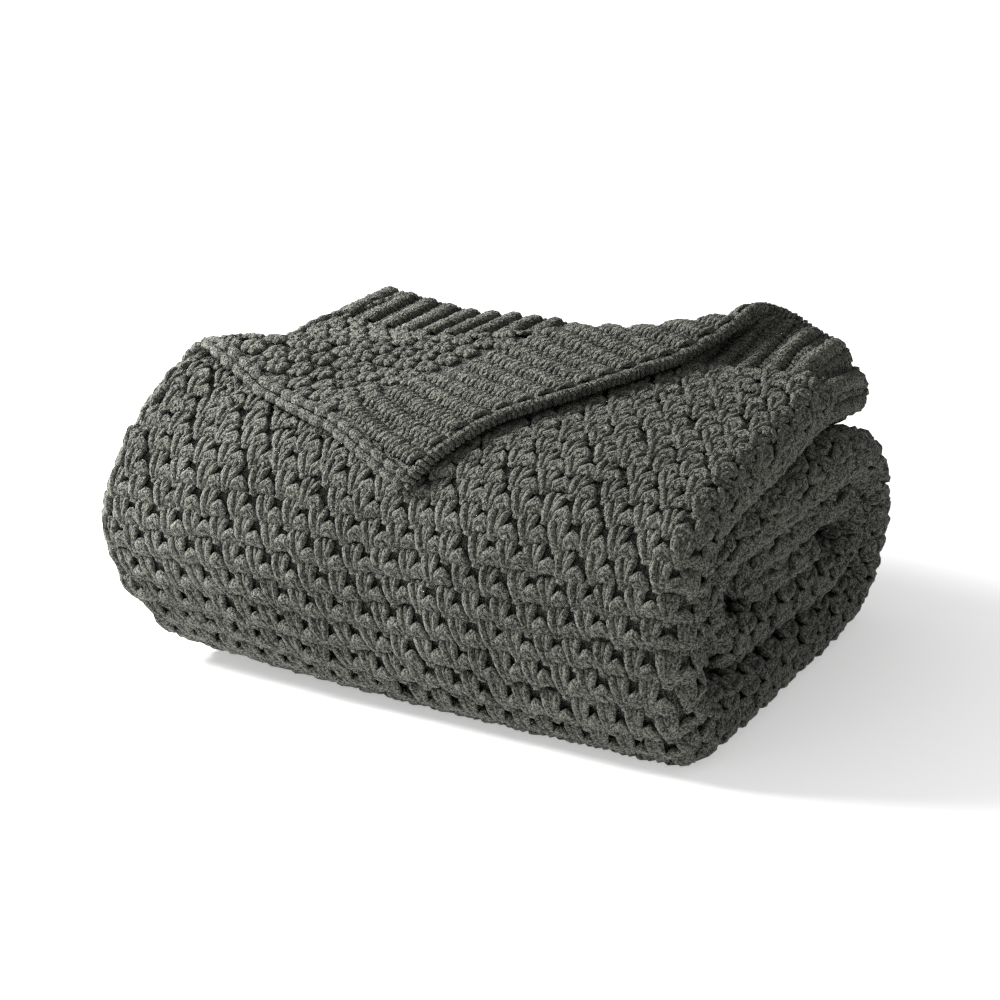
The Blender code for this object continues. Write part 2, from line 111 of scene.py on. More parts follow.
# The turned corner: where its crease meets the selvage and the hem, and how the ply lies across
# the crease, at shares of its length. The ply lifts off at a slope, goes up at the back, turns
# over at the crest and falls to the flap. The crest is a little higher here than in the solid.
CREASE_ON_SELVAGE = 0.330
CREASE_ON_HEM = 0.478
CREASE_ANGLE = math.atan2(CREASE_ON_SELVAGE, CREASE_ON_HEM)
CORNER_TO_CREASE = CREASE_ON_HEM * math.sin(CREASE_ANGLE)
CREASE_LENGTH = math.hypot(CREASE_ON_SELVAGE, CREASE_ON_HEM)
CREASE_COLUMNS = ("along", "lift", "rise", "back", "back_height", "crest", "crest_height", "fall")
CREASE = (
    (-0.12, -0.054, 1.0, 0.006, 0.024, -0.012, 0.036, -0.080),
    (0.00, -0.046, 0.6, 0.006, 0.020, -0.010, 0.034, -0.080),
    (0.25, -0.038, 0.1, 0.010, 0.018, -0.003, 0.036, -0.090),
    (0.50, -0.036, 0.0, 0.008, 0.014, -0.005, 0.029, -0.080),
    (0.75, -0.040, 0.0, 0.003, 0.012, -0.010, 0.020, -0.070),
    (0.88, -0.070, 0.2, 0.000, 0.026, -0.014, 0.038, -0.110),
    (1.00, -0.098, 1.0, -0.004, 0.060, -0.020, 0.083, -0.170),
    (1.14, -0.030, 1.6, 0.000, 0.056, -0.020, 0.077, -0.170),
)

# The flap: its gap over the cloth, the height of the stitches that it lies on, and how far it
# slides along the crease for each metre that it is turned back.
FLAP_GAP = 0.0012
FLAP_ON_STITCHES = 0.0060
FLAP_SHEAR = 0.034

# How far from the hem the turned corner shapes the top ply, its guide runs, the guides of the
# plies under it run, and the selvage follows it, which it leaves from so far past the crease by
# degrees.
TURNED_LENGTH = CREASE_ON_SELVAGE + 0.12
CORNER_LENGTH = CREASE_ON_SELVAGE + 0.13
UNDER_LENGTH = CREASE_ON_SELVAGE + 0.08
SELVAGE_LENGTH = CREASE_ON_SELVAGE + 0.14
SELVAGE_LEAVES = 0.07
SELVAGE_BLEND = 0.06

# How finely the folds are drawn, for the stitches, the cloth and the top's outer face, and the
# step over which that face's normals are taken.
REFINE = 3
CLOTH_REFINE = 2
SURFACE_REFINE = 6
SURFACE_COLUMNS = 13
NORMAL_STEP = 0.006

# The cloth: how deep the middle of each ply lies as a share of the strip, how thick its ground is,
# and how far in from the left the second ply's edge and the inner fold lie.
PLY_DEPTHS = (0.135, 0.385, 0.615, 0.865)
SHEET_THICK = 0.0068
SECOND_EDGE_IN = 0.002
INNER_FOLD_IN = 0.008

# The guides that stitches are carried onto: the step between places, how far they run on past an
# edge, by how many stations past a row, and how far in from a ply's left edge its own guide runs.
GUIDE_STEP = 0.007
EDGE_REACH = 0.016
SPARE_STATIONS = 6
SELVAGE_WIDTH = 0.05
CORNER_RIGHT = WIDTH - 0.008
UNDER_ENDS = (0.004, WIDTH - 0.010)

# The skin's places are measured from the middle of its right turn: its width to the left, its bare
# margin there, how far it goes on under, how deep its top face counts as top, and how far past the
# line where the corner lifts off it still has stitches.
SKIN_WIDTH = 0.583
SKIN_MARGIN = 0.004
SKIN_UNDER = 0.085
TOP_DEPTH = 0.1
SKIN_PAST_LIFT = 0.008

# The bight is the fold at the left: how far in it lies, and its places from end to end.
BIGHT_INSET = 0.004
BIGHT_ENDS = (-0.060, 0.040)

# The knit: the ribbed border's depth and its first row, where its ribs pass from the top to the
# right turn and the ends of their guide there, the body's first row, and how far left a fan is
# set, to centre it with its arch.
RIB_BORDER = 0.096
FIRST_RIB_ROW = 0.007
TURN_RIBS = 0.533
TURN_RIBS_ENDS = (-0.075, 0.100)
FIRST_BODY_ROW = RIB_BORDER + 0.010
FAN_LEFT = 0.007

# The edges: the pitch of the selvage's chain and of the hem's binding, the length of hem that is
# bound round the right turn, the ends of its guide, and how far out its binding is set.
CHAIN_PITCH = 0.0165
HEM_PITCH = 0.0060
HEM_TURN_LENGTH = 0.150
HEM_TURN_ENDS = (-0.040, 0.120)
HEM_TURN_OUT = 0.0035

# The runs of body stitches on the outer skin: name, first and last row of the folds, how many
# columns are left out at the left, and the share of their height that the stitches keep.
SKIN_RUNS = (
    ("body_top", "hem", "shoulder", 0, 0.72),
    ("body_front", "shoulder", "front foot", 0, 0.94),
    ("body_floor", "front foot", "back foot", 0, 0.9),
    ("body_back", "back foot", "second middle", 0, 1.0),
    ("body_inside", "second middle", "core end", 18, 1.0),
)
SKIN_COLUMNS = 25

# The same share for the flap's body and ribs, negative because they show the wrong side, and from
# how far past the lift the wrong side shows, to how far past the crease the right side does, in
# the body and in the border, and from how far past the lift the second ply lies open.
FLAP_BODY_SIDE = -0.68
FLAP_RIBS_SIDE = -0.85
WRONG_SIDE_FROM = 0.016
BACK_TO = 0.034
BORDER_TO = 0.030
OPEN_FROM = -0.004

# The yarn: how fast its plies run along it, how softly it is pressed flat where it meets the
# floor and how far off it stays, how much the stitches differ in size, the shares of their random
# turn that tip and spin them, and the painted shade of the ground cloth, deeper than any stitch,
# which stands for the shade in the hollows between the stitches.
PLY_RUN = 90.0
FLOOR_SOFTNESS = 0.0040
FLOOR_CLEARANCE = 0.0003
SIZE_SPREAD = 0.07
TURN_SHARES = (0.3, 0.3, 1)
GROUND_PAINTED_SHADE = -1.0

# The ends of a guide's flat layout that are sampled, just inside its rim.
LAY_LOW = (0.0005, 0.0005, 0)
LAY_HIGH = (0.9995, 0.9995, 0)

# The pile: the shares of nap, tufts and plies in its relief, whose hollows are painted with shade
# and its tips with light, of clouds and of the stitches' random tone and the ground's painted shade
# in its tone, the ends of the range of tones and painted light and shade, and the depth of the
# relief.
NAP_SHARE = 1.5
TUFT_SHARE = 0.25
PLY_SHARE = 0.70
CLOUD_SHARE = 0.22
TINT_AND_SHADE_SHARE = 0.08
TONE_RANGE = (0.46, 0.65)
PILE_DEPTH = 0.0052

# The stage: half the floor's width, the distances between which its painted glow changes, from
# weaker near the blanket, as painted shade round it, to stronger far off, the lights, with name,
# place, size and power as a share of the key light's, where they aim, and the view.
WHITE = (1.0, 1.0, 1.0, 1.0)
FLOOR_REACH = 10.0
GLOW_FROM = 0.30
GLOW_TO = 0.85
LIGHTS = (
    ("key", (-1.07, -0.38, 0.92), 0.55, 1.0),
    ("fill", (-0.3, -2.2, 1.2), 1.2, 0.08),
)
LIGHT_AIM = (0.0, 0.0, 0.1)
VIEW_AZIMUTH = 29.6
VIEW_ELEVATION = 17.7
VIEW_DISTANCE = 2.2
VIEW_TARGET = (0.285 - CENTRE[0], 0.198 - CENTRE[1], 0.1155)
VIEW_SHIFT = (-0.010, 0.014)


# Shape of the folds


def bend(t, start, end, leaving, arriving, reach):
    """Places at shares t of a smooth bend from start to end, by its directions at both."""
    return ((2 * t ** 3 - 3 * t ** 2 + 1) * start + (t ** 3 - 2 * t ** 2 + t) * reach * leaving
            + (3 * t ** 2 - 2 * t ** 3) * end + (t ** 3 - t ** 2) * reach * arriving)


def smooth_curve(values, steps):
    """A smooth curve through the rows, whose first two values are a place, in the given steps."""
    knots = np.linalg.norm(np.diff(values[:, :2], axis=0), axis=1) ** 0.7
    slopes = np.diff(values, axis=0) / knots[:, None]
    before, after = knots[:-1, None], knots[1:, None]
    middle = (slopes[:-1] * after + slopes[1:] * before) / (before + after)
    rates = np.vstack([slopes[:1], middle, slopes[-1:]])
    out = []
    for i, count in enumerate(steps):
        t = (np.arange(count) / count)[:, None]
        out.append(bend(t, values[i], values[i + 1], rates[i], rates[i + 1], knots[i]))
    return np.vstack(out + [values[-1:]])


def fold_line(refine):
    """The strip's middle line and widths as named arrays, one value for each station."""
    values = np.array([row[1:1 + len(FOLD_COLUMNS)] for row in FOLDS], float)
    steps = [row[-1] * refine for row in FOLDS[:-1]]
    smooth = smooth_curve(values, steps)
    return {name: smooth[:, i] for i, name in enumerate(FOLD_COLUMNS)}


def station(name, refine=REFINE):
    """The number of the station at a named row of the folds, drawn so finely."""
    return refine * sum(row[-1] for row in FOLDS[:ROW_NAMES.index(name)])


def unevenness(points):
    """Move points by the slow waves."""
    moved = points.copy()
    fade = np.clip(points[..., 2] / WAVE_FULL_HEIGHT, 0.0, 1.0)
    fade = fade * fade * (3 - 2 * fade)
    for axis, reach, along_x, along_y, along_z, phase in WAVES:
        turns = points[..., 0] * along_x + points[..., 1] * along_y + points[..., 2] * along_z
        moved[..., axis] += reach * fade * np.sin(2 * math.pi * turns + phase)
    return moved


def strip_points(line, x, depth):
    """Points of the strip at each station, for x and depth given for each station and place."""
    from_right = 1.0 - x / WIDTH
    y = line["y"][:, None] + from_right ** 2 * line["skew_y"][:, None]
    z = (line["z"][:, None] + from_right ** 2 * line["skew_z"][:, None]
         + 4 * from_right * (1 - from_right) * line["belly"][:, None])
    run_y = np.gradient(y, axis=0)
    run_z = np.gradient(z, axis=0)
    length = np.hypot(run_y, run_z)
    offset = (0.5 - depth) * line["thick"][:, None]
    offset += np.clip(1 - 2 * depth, 0, 1) * line["swell"][:, None]
    return np.stack([x, y + run_z / length * offset, z - run_y / length * offset], axis=-1)


def top_surface():
    """The outer face of the top band and the front, by x and the distance from the hem."""
    line = fold_line(SURFACE_REFINE)
    keep = station("floor front", SURFACE_REFINE)
    line = {name: values[:keep] for name, values in line.items()}
    x_known = np.linspace(0.0, WIDTH, SURFACE_COLUMNS)
    x = np.tile(x_known, (keep, 1))
    points = strip_points(line, x, np.zeros_like(x))
    gaps = np.linalg.norm(np.diff(points[..., 1:], axis=0), axis=-1)
    far = np.vstack([np.zeros(SURFACE_COLUMNS), np.cumsum(gaps, axis=0)])
    slope = (points[1, :, 1:] - points[0, :, 1:]) / far[1][:, None]

    def place(x, d):
        at_known = []
        for k in range(SURFACE_COLUMNS):
            yz = [np.interp(d, far[:, k], points[:, k, axis]) for axis in (1, 2)]
            beyond = np.minimum(d, 0.0)
            at_known.append([yz[0] + slope[k, 0] * beyond, yz[1] + slope[k, 1] * beyond])
        at_known = np.array(at_known)
        spot = np.clip(x / WIDTH, 0, 1) * (SURFACE_COLUMNS - 1)
        low = np.clip(np.floor(spot).astype(int), 0, SURFACE_COLUMNS - 2)
        share = spot - low
        index = np.indices(np.shape(x))
        pick = [at_known[(low + step, axis) + tuple(index)] for axis in (0, 1) for step in (0, 1)]
        y = pick[0] * (1 - share) + pick[1] * share
        z = pick[2] * (1 - share) + pick[3] * share
        return np.stack([x, y, z], axis=-1)

    def surface(x, d, height):
        step = NORMAL_STEP
        base = unevenness(place(x, d))
        along_x = unevenness(place(x + step, d)) - unevenness(place(x - step, d))
        along_d = unevenness(place(x, d + step)) - unevenness(place(x, d - step))
        normal = np.cross(along_d, along_x)
        normal /= np.linalg.norm(normal, axis=-1, keepdims=True)
        return base + normal * height[..., None]

    return surface


def crease_value(name, along):
    """A value of the crease's table at places along it."""
    rows = np.array(CREASE)
    return np.interp(along, rows[:, 0], rows[:, CREASE_COLUMNS.index(name)])


def crease_frame(across, from_hem):
    """Distance past the crease towards the corner, and the place along the crease, 0 to 1."""
    past = CORNER_TO_CREASE - (across * math.sin(CREASE_ANGLE) + from_hem * math.cos(CREASE_ANGLE))
    along = (across * math.cos(CREASE_ANGLE)
             + (CREASE_ON_SELVAGE - from_hem) * math.sin(CREASE_ANGLE)) / CREASE_LENGTH
    return past, along


def fold_section(along, past):
    """Where the ply lies across the crease: distance and height, for cloth so far past it."""
    rest = PLY + FLAP_GAP + FLAP_ON_STITCHES
    lift = float(crease_value("lift", along))
    rise = math.atan(float(crease_value("rise", along)))
    nodes = np.array([
        (lift, 0.0, math.cos(rise), math.sin(rise)),
        (crease_value("back", along), crease_value("back_height", along), 0.0, 1.0),
        (crease_value("crest", along), crease_value("crest_height", along), -1.0, 0.0),
        (crease_value("fall", along), rest, -1.0, 0.0),
    ])
    pieces = []
    for start, end in zip(nodes[:-1], nodes[1:]):
        chord = np.linalg.norm(end[:2] - start[:2])
        t = np.linspace(0, 1, 16, endpoint=False)[:, None]
        pieces.append(bend(t, start[:2], end[:2], start[2:], end[2:], chord))
    curve = np.vstack(pieces + [nodes[-1][None, :2]])
    walked = np.concatenate([[0], np.cumsum(np.linalg.norm(np.diff(curve, axis=0), axis=1))])
    reach = past - lift
    if reach <= 0:
        return past, 0.0
    if reach >= walked[-1]:
        return curve[-1, 0] - (reach - walked[-1]), rest
    return np.interp(reach, walked, curve[:, 0]), np.interp(reach, walked, curve[:, 1])


def top_ply(surface, across, from_hem):
    """Middle of the top ply, with its corner turned over, for places on the flat cloth."""
    spots = np.zeros(across.shape + (3,))
    for index in np.ndindex(across.shape):
        x, y = across[index], from_hem[index]
        past, along = crease_frame(x, y)
        distance, height = fold_section(along, past)
        back = past - distance
        shear = FLAP_SHEAR * back
        spots[index] = (x + back * math.sin(CREASE_ANGLE) + shear * math.cos(CREASE_ANGLE),
                        y + back * math.cos(CREASE_ANGLE) - shear * math.sin(CREASE_ANGLE),
                        height)
    return surface(spots[..., 0], spots[..., 1], spots[..., 2] - PLY / 2)


def out_normals(points):
    """The outward normals of a grid of points, rows along the strip and columns across it."""
    along = np.gradient(points, axis=0)
    across = np.gradient(points, axis=1)
    normal = np.cross(along, across)
    return normal / np.maximum(np.linalg.norm(normal, axis=-1, keepdims=True), 1e-9)


def to_frame(points):
    """From the strip's own frame to the part's."""
    return points - np.array((CENTRE[0], CENTRE[1], 0.0))


def walked_along(points):
    """Distance from the hem at each row of a grid, measured down its middle column."""
    middle = points[:, points.shape[1] // 2]
    return np.concatenate([[0], np.cumsum(np.linalg.norm(np.diff(middle, axis=0), axis=1))])


def grid_faces(number):
    """The four-cornered faces of a grid of point numbers."""
    corners = (number[:-1, :-1], number[1:, :-1], number[1:, 1:], number[:-1, 1:])
    return np.stack(corners, -1).reshape(-1, 4).tolist()


def add_object(name, data):
    """A new object in the scene."""
    made = bpy.data.objects.new(name, data)
    bpy.context.scene.collection.objects.link(made)
    return made


class Guide:
    """A face of the folded cloth: where each place of the flat layout comes to lie."""

    def __init__(self, across, along, points, shown=None, run=None):
        self.across = np.broadcast_to(across, points.shape[:2])
        self.along = np.broadcast_to(along, points.shape[:2])
        self.points = points
        self.normals = out_normals(points)
        self.run = (self.along.min(), self.along.max()) if run is None else run
        self.shown = np.ones(points.shape[:2]) if shown is None else shown.astype(float)
        self.low = np.array((self.across.min(), -self.along.max()))
        self.size = np.array((self.across.max(), -self.along.min())) - self.low

    def to_object(self, name):
        """The guide as a mesh with its flat layout as a UV map, for the knitting tree."""
        rows, cols = self.points.shape[:2]
        number = np.arange(rows * cols).reshape(rows, cols)
        places = to_frame(self.points).reshape(-1, 3).tolist()
        mesh = bpy.data.meshes.new(name)
        mesh.from_pydata(places, [], grid_faces(number))
        flat = np.stack([self.across, -self.along], -1).reshape(-1, 2)
        flat = (flat - self.low) / self.size
        lay = mesh.uv_layers.new(name="lay")
        corners = np.zeros(len(mesh.loops), int)
        mesh.loops.foreach_get("vertex_index", corners)
        lay.data.foreach_set("uv", flat[corners].ravel())
        out = mesh.attributes.new("out", "FLOAT_VECTOR", "POINT")
        out.data.foreach_set("vector", self.normals.ravel())
        shown = mesh.attributes.new("shown", "FLOAT", "POINT")
        shown.data.foreach_set("value", self.shown.ravel())
        return add_object(name, mesh)


def strip_grid(line, x, depth):
    """Points of the strip, settled by the slow waves and resting on the floor."""
    points = unevenness(strip_points(line, x, depth))
    points[..., 2] = np.maximum(points[..., 2], 0.0)
    return points


def past_hem(points, walked, shown):
    """Carry a guide's first row straight on past the hem."""
    step = points[0] - points[1]
    step *= EDGE_REACH / np.linalg.norm(step, axis=-1, keepdims=True)
    rows = ((points[:1] + step[None], points), (walked[:1] - EDGE_REACH, walked),
            (shown[:1], shown))
    return tuple(np.vstack(pair) for pair in rows)


def strip_walk(line):
    """Distance from the hem at each station, down the middle of the strip's outer face."""
    shape = (len(line["y"]), 3)
    return walked_along(strip_grid(line, np.full(shape, WIDTH / 2), np.zeros(shape)))


def skin_guide(line, first, last, low, high, inset=0.0):
    """The strip's outer skin between two stations: its top face, its right turn and its under face.

    Places across it are measured from the middle of the right turn, to the left on the top face,
    whose columns close up where the strip is narrower. With an inset, a share of the strip's
    thickness, it lies that far in.
    """
    early, late = max(first - SPARE_STATIONS, 0), min(last + SPARE_STATIONS, len(line["y"]) - 1)
    walk = strip_walk(line)
    part = {name: values[early:late + 1] for name, values in line.items()}
    across = np.linspace(low, high, max(int((high - low) / GUIDE_STEP), 4))[None, :]
    half = part["thick"][:, None] * (0.5 - inset)
    arc = math.pi / 2 * half
    x_right = WIDTH + part["right"][:, None] - part["thick"][:, None] / 2
    turn = np.clip(math.pi / 2 + across / half, 0, math.pi)
    closed = np.where(across < 0, (x_right - part["left"][:, None]) / (SKIN_WIDTH - arc), 1.0)
    x = x_right + half * np.sin(turn) - np.maximum(np.abs(across) - arc, 0) * closed
    depth = 0.5 - (0.5 - inset) * np.cos(turn)
    walked = walk[early:late + 1, None]
    shown = across > SKIN_MARGIN - SKIN_WIDTH
    past, along = crease_frame(x, walked)
    on_top = (depth < TOP_DEPTH + inset) & (walked < TURNED_LENGTH)
    shown = shown & ~(on_top & (past > crease_value("lift", along) + SKIN_PAST_LIFT))
    points = strip_grid(part, x, depth)
    if early == 0:
        points, walked, shown = past_hem(points, walked, shown)
    return Guide(across, walked, points, shown, run=(walk[first], walk[last]))


def bight_guide(line, low, high):
    """The fold at the strip's left, from its under face, 0 in the middle of the turn, and in."""
    across = np.linspace(low, high, max(int((high - low) / GUIDE_STEP), 4))[None, :]
    half = line["thick"][:, None] / 4
    arc = math.pi / 2 * half
    turn = np.clip(math.pi / 2 + across / half, 0, math.pi)
    x = line["left"][:, None] + BIGHT_INSET + half
    x = x - half * np.sin(turn) + np.maximum(np.abs(across) - arc, 0)
    depth = 0.75 + 0.25 * np.cos(turn)
    return Guide(across, strip_walk(line)[:, None], strip_grid(line, x, depth))


def ply_left_guide(line, depth, surface=None):
    """The left edge of a ply: its middle, carried on a little past the edge."""
    edge = np.linspace(-EDGE_REACH, SELVAGE_WIDTH, 10)[None, :]
    x = line["left"][:, None] + edge
    points = strip_grid(line, x, np.full_like(x, depth))
    walked = strip_walk(line)
    if surface is not None:
        rows = walked < SELVAGE_LENGTH
        turned = top_ply(surface, np.tile(edge, (rows.sum(), 1)),
                         np.tile(walked[rows, None], (1, edge.shape[1])))
        share = (walked[rows] - CREASE_ON_SELVAGE - SELVAGE_LEAVES) / SELVAGE_BLEND
        share = np.clip(share, 0, 1)[:, None, None]
        points[rows] = turned * (1 - share) + points[rows] * share
    return Guide(edge, walked[:, None], points)


def corner_guide(surface):
    """The top ply's middle, with its corner turned over."""
    across = np.arange(-EDGE_REACH, CORNER_RIGHT, GUIDE_STEP)
    from_hem = np.arange(-EDGE_REACH, CORNER_LENGTH, GUIDE_STEP)
    x, d = np.meshgrid(across, from_hem)
    return Guide(x, d, top_ply(surface, x, d))


def under_guide(surface, ply):
    """The middle of a ply under the top one, 1 for the second, near the hem."""
    across = np.arange(*UNDER_ENDS, GUIDE_STEP)
    from_hem = np.arange(-EDGE_REACH, UNDER_LENGTH, GUIDE_STEP)
    x, d = np.meshgrid(across, from_hem)
    return Guide(x, d, surface(x, d, np.full_like(x, -(ply + 0.5) * PLY)))


def past_lift(guide):
    """How far each place of a guide lies past the line where the top ply lifts off."""
    past, along = crease_frame(guide.across, guide.along)
    return past - crease_value("lift", along)


# Yarn


def strand(bm, path, radius, ends, sides=5):
    """A closed length of yarn along a smooth path in millimetres, thinner at both ends."""
    points = [Vector(p) * 0.001 for p in path]
    last = len(points) - 1
    rings = []
    side = Vector((0, 0, 1))
    ply = bm.verts.layers.float_vector.get("ply") or bm.verts.layers.float_vector.new("ply")
    run = 0.0
    for i, here in enumerate(points):
        ahead = (points[min(i + 1, last)] - points[max(i - 1, 0)]).normalized()
        side = (side - ahead * side.dot(ahead)).normalized()
        other = ahead.cross(side)
        thick = radius * 0.001 * (ends if i in (0, last) else 1.0)
        run += (here - points[max(i - 1, 0)]).length
        ring = []
        for turn in (2 * math.pi * k / sides for k in range(sides)):
            out = side * math.cos(turn) + other * math.sin(turn)
            ring.append(bm.verts.new(here + out * thick))
            ring[-1][ply] = (math.cos(turn), math.sin(turn), run * PLY_RUN)
        rings.append(ring)
    for low, high in zip(rings[:-1], rings[1:]):
        for k in range(sides):
            bm.faces.new((low[k], low[(k + 1) % sides], high[(k + 1) % sides], high[k]))
    bm.faces.new(list(reversed(rings[0])))
    bm.faces.new(rings[-1])


def puff(angle, reach, height):
    """The path of one puff of a scallop, pointing out from the scallop's foot."""
    out = Vector((math.cos(math.radians(angle)), math.sin(math.radians(angle)), 0))
    foot = Vector((0, -7, 0))
    return tuple(foot + out * far + Vector((0, 0, up))
                 for far, up in ((2.5, -1.5), (5.0, height), (reach - 1.5, height), (reach, -0.5)))


def hem_turn(places=9, pitch=6.5, reach=3.3, middle=-PLY * 500):
    """The path of one turn of the yarn that binds a hem, in millimetres, round a ply's middle."""
    angles = [math.radians(200 - 400 * k / (places - 1)) for k in range(places)]
    return tuple((pitch * k / (places - 1) - pitch / 2, 1.5 - reach * math.cos(a) * 1.15,
                  middle + reach * math.sin(a) * 1.1) for k, a in enumerate(angles))


# Each stitch's lengths of yarn: a path in millimetres, a radius, and how thin the ends are. A fan
# is a left and a right leg with a filling between them, the wrap at their foot, and the arch to
# the next fan with its own filling.
STITCHES = {
    "fan": (
        (((-6, 13, -0.8), (-5.7, 8, 2.2), (-4.4, 1.5, 3.5), (-1.8, -5.5, 3.4), (0.8, -12, 1.2)),
         3.5, 0.8),
        (((5.8, 13.5, -0.8), (5.8, 8.5, 2), (4.7, 2, 3.1), (3.4, -5, 2.7), (2.3, -11, 0.8)),
         3.45, 0.8),
        (((0, 13, 0.4), (0.4, 4, 1.5), (1.1, -8, 1.3)), 3.3, 0.8),
        (((-2.2, -9, -0.8), (-0.2, -12.4, 1.8), (2.6, -13, 1.8), (4.8, -10, -0.8)), 3.1, 0.8),
        (((6.6, -11, -0.2), (8.5, -4.4, 2.8), (13.4, -0.4, 4), (18.3, -4.4, 2.8),
          (20.2, -11, -0.2)), 4.1, 0.8),
        (((9.6, -9, 1.2), (13.4, -7, 2.2), (17.2, -9, 1.2)), 3.9, 0.8),
    ),
    "scallop": (
        (puff(172, 10.0, 1.0), 5.1, 0.75),
        (puff(118, 10.5, 1.5), 5.2, 0.75),
        (puff(65, 11.0, 1.4), 5.2, 0.75),
        (puff(10, 10.0, 1.0), 5.1, 0.75),
        (((-11, -12, -1.5), (-4, -10.5, 1.0), (4, -10.5, 1.0), (11, -12, -1.5)), 4.8, 0.8),
    ),
    "rib": (
        (((-7.5, -4.2, -3.2), (-4, -1.8, 1.8), (0, 0.2, 3), (4, 2, 1.8), (7.5, 4.2, -3.2)),
         3.8, 0.7),
        (((6.5, 4, -4.0), (12.5, 0.5, -2.4), (18.5, -3, -4.0)), 3.6, 0.7),
    ),
    "chain": (
        (((6.5, -13, 0.5), (2.5, -6.5, 4.6), (1, 1, 5.2), (2.5, 8, 4.4), (7, 13.5, 1)), 4.5, 0.4),
        (((8.5, -14, 1), (12.5, -7, 4.4), (13.5, 0, 4.8), (11.5, 7, 4.2), (8, 12.5, 0.5)),
         4.4, 0.4),
        (((-2, -12, 0), (-4.5, -4, 0), (-4.5, 5, 0), (-2, 12, 0)), 4.2, 0.4),
        (((5.5, -12, -1.5), (3, -4, -4.8), (3.5, 5, -4.8), (7.5, 13, -1.5)), 4.4, 0.4),
    ),
    "edge": ((hem_turn(), 2.9, 0.8),),
}


def stitch_shape(kind):
    """One stitch, with its lengths of yarn ready to be laid out on the flat cloth."""
    bm = bmesh.new()
    for path, radius, ends in STITCHES[kind]:
        strand(bm, path, radius, ends)
    mesh = bpy.data.meshes.new("stitch_" + kind)
    bm.to_mesh(mesh)
    bm.free()
    return bpy.data.objects.new("stitch_" + kind, mesh)


class TreeMaker:
    """Adds nodes to a tree and joins them."""

    def __init__(self, tree):
        self.tree = tree

    def node(self, kind, inputs=(), **settings):
        made = self.tree.nodes.new(kind)
        for name, value in settings.items():
            setattr(made, name, value)
        for socket, value in dict(inputs).items():
            self.feed(made.inputs[socket], value)
        return made

    def feed(self, socket, value):
        if isinstance(value, bpy.types.NodeSocket):
            self.tree.links.new(value, socket)
        elif isinstance(value, bpy.types.Node):
            self.tree.links.new(value.outputs[0], socket)
        else:
            socket.default_value = value

    def math(self, operation, first, second=0.0):
        return self.node("ShaderNodeMath", {0: first, 1: second}, operation=operation).outputs[0]

    def vector(self, operation, first, second=(0, 0, 0)):
        made = self.node("ShaderNodeVectorMath", {0: first}, operation=operation)
        socket = "Scale" if operation == "SCALE" else 1
        self.feed(made.inputs[socket], second)
        return made.outputs[0]


# The knitting tree's inputs: name, kind and default.
KNIT_INPUTS = (
    ("Stitch", "NodeSocketObject", None),
    ("Columns", "NodeSocketInt", 10),
    ("Rows", "NodeSocketInt", 10),
    ("Column Width", "NodeSocketFloat", 0.0268),
    ("Row Height", "NodeSocketFloat", 0.0228),
    ("First Column", "NodeSocketFloat", 0.0),
    ("First Row", "NodeSocketFloat", 0.0),
    ("Rows Before", "NodeSocketInt", 0),
    ("Row Shift", "NodeSocketFloat", 0.50),
    ("Face Height", "NodeSocketFloat", 0.0),
    ("Side", "NodeSocketFloat", 1.0),
    ("Wander", "NodeSocketFloat", 0.0020),
    ("Turn", "NodeSocketFloat", 0.16),
    ("Unevenness", "NodeSocketFloat", 0.0022),
    ("Flat Low", "NodeSocketVector", (0, 0, 0)),
    ("Flat Size", "NodeSocketVector", (1, 1, 1)),
    ("Seed", "NodeSocketInt", 1),
    ("Yarn", "NodeSocketMaterial", None),
)


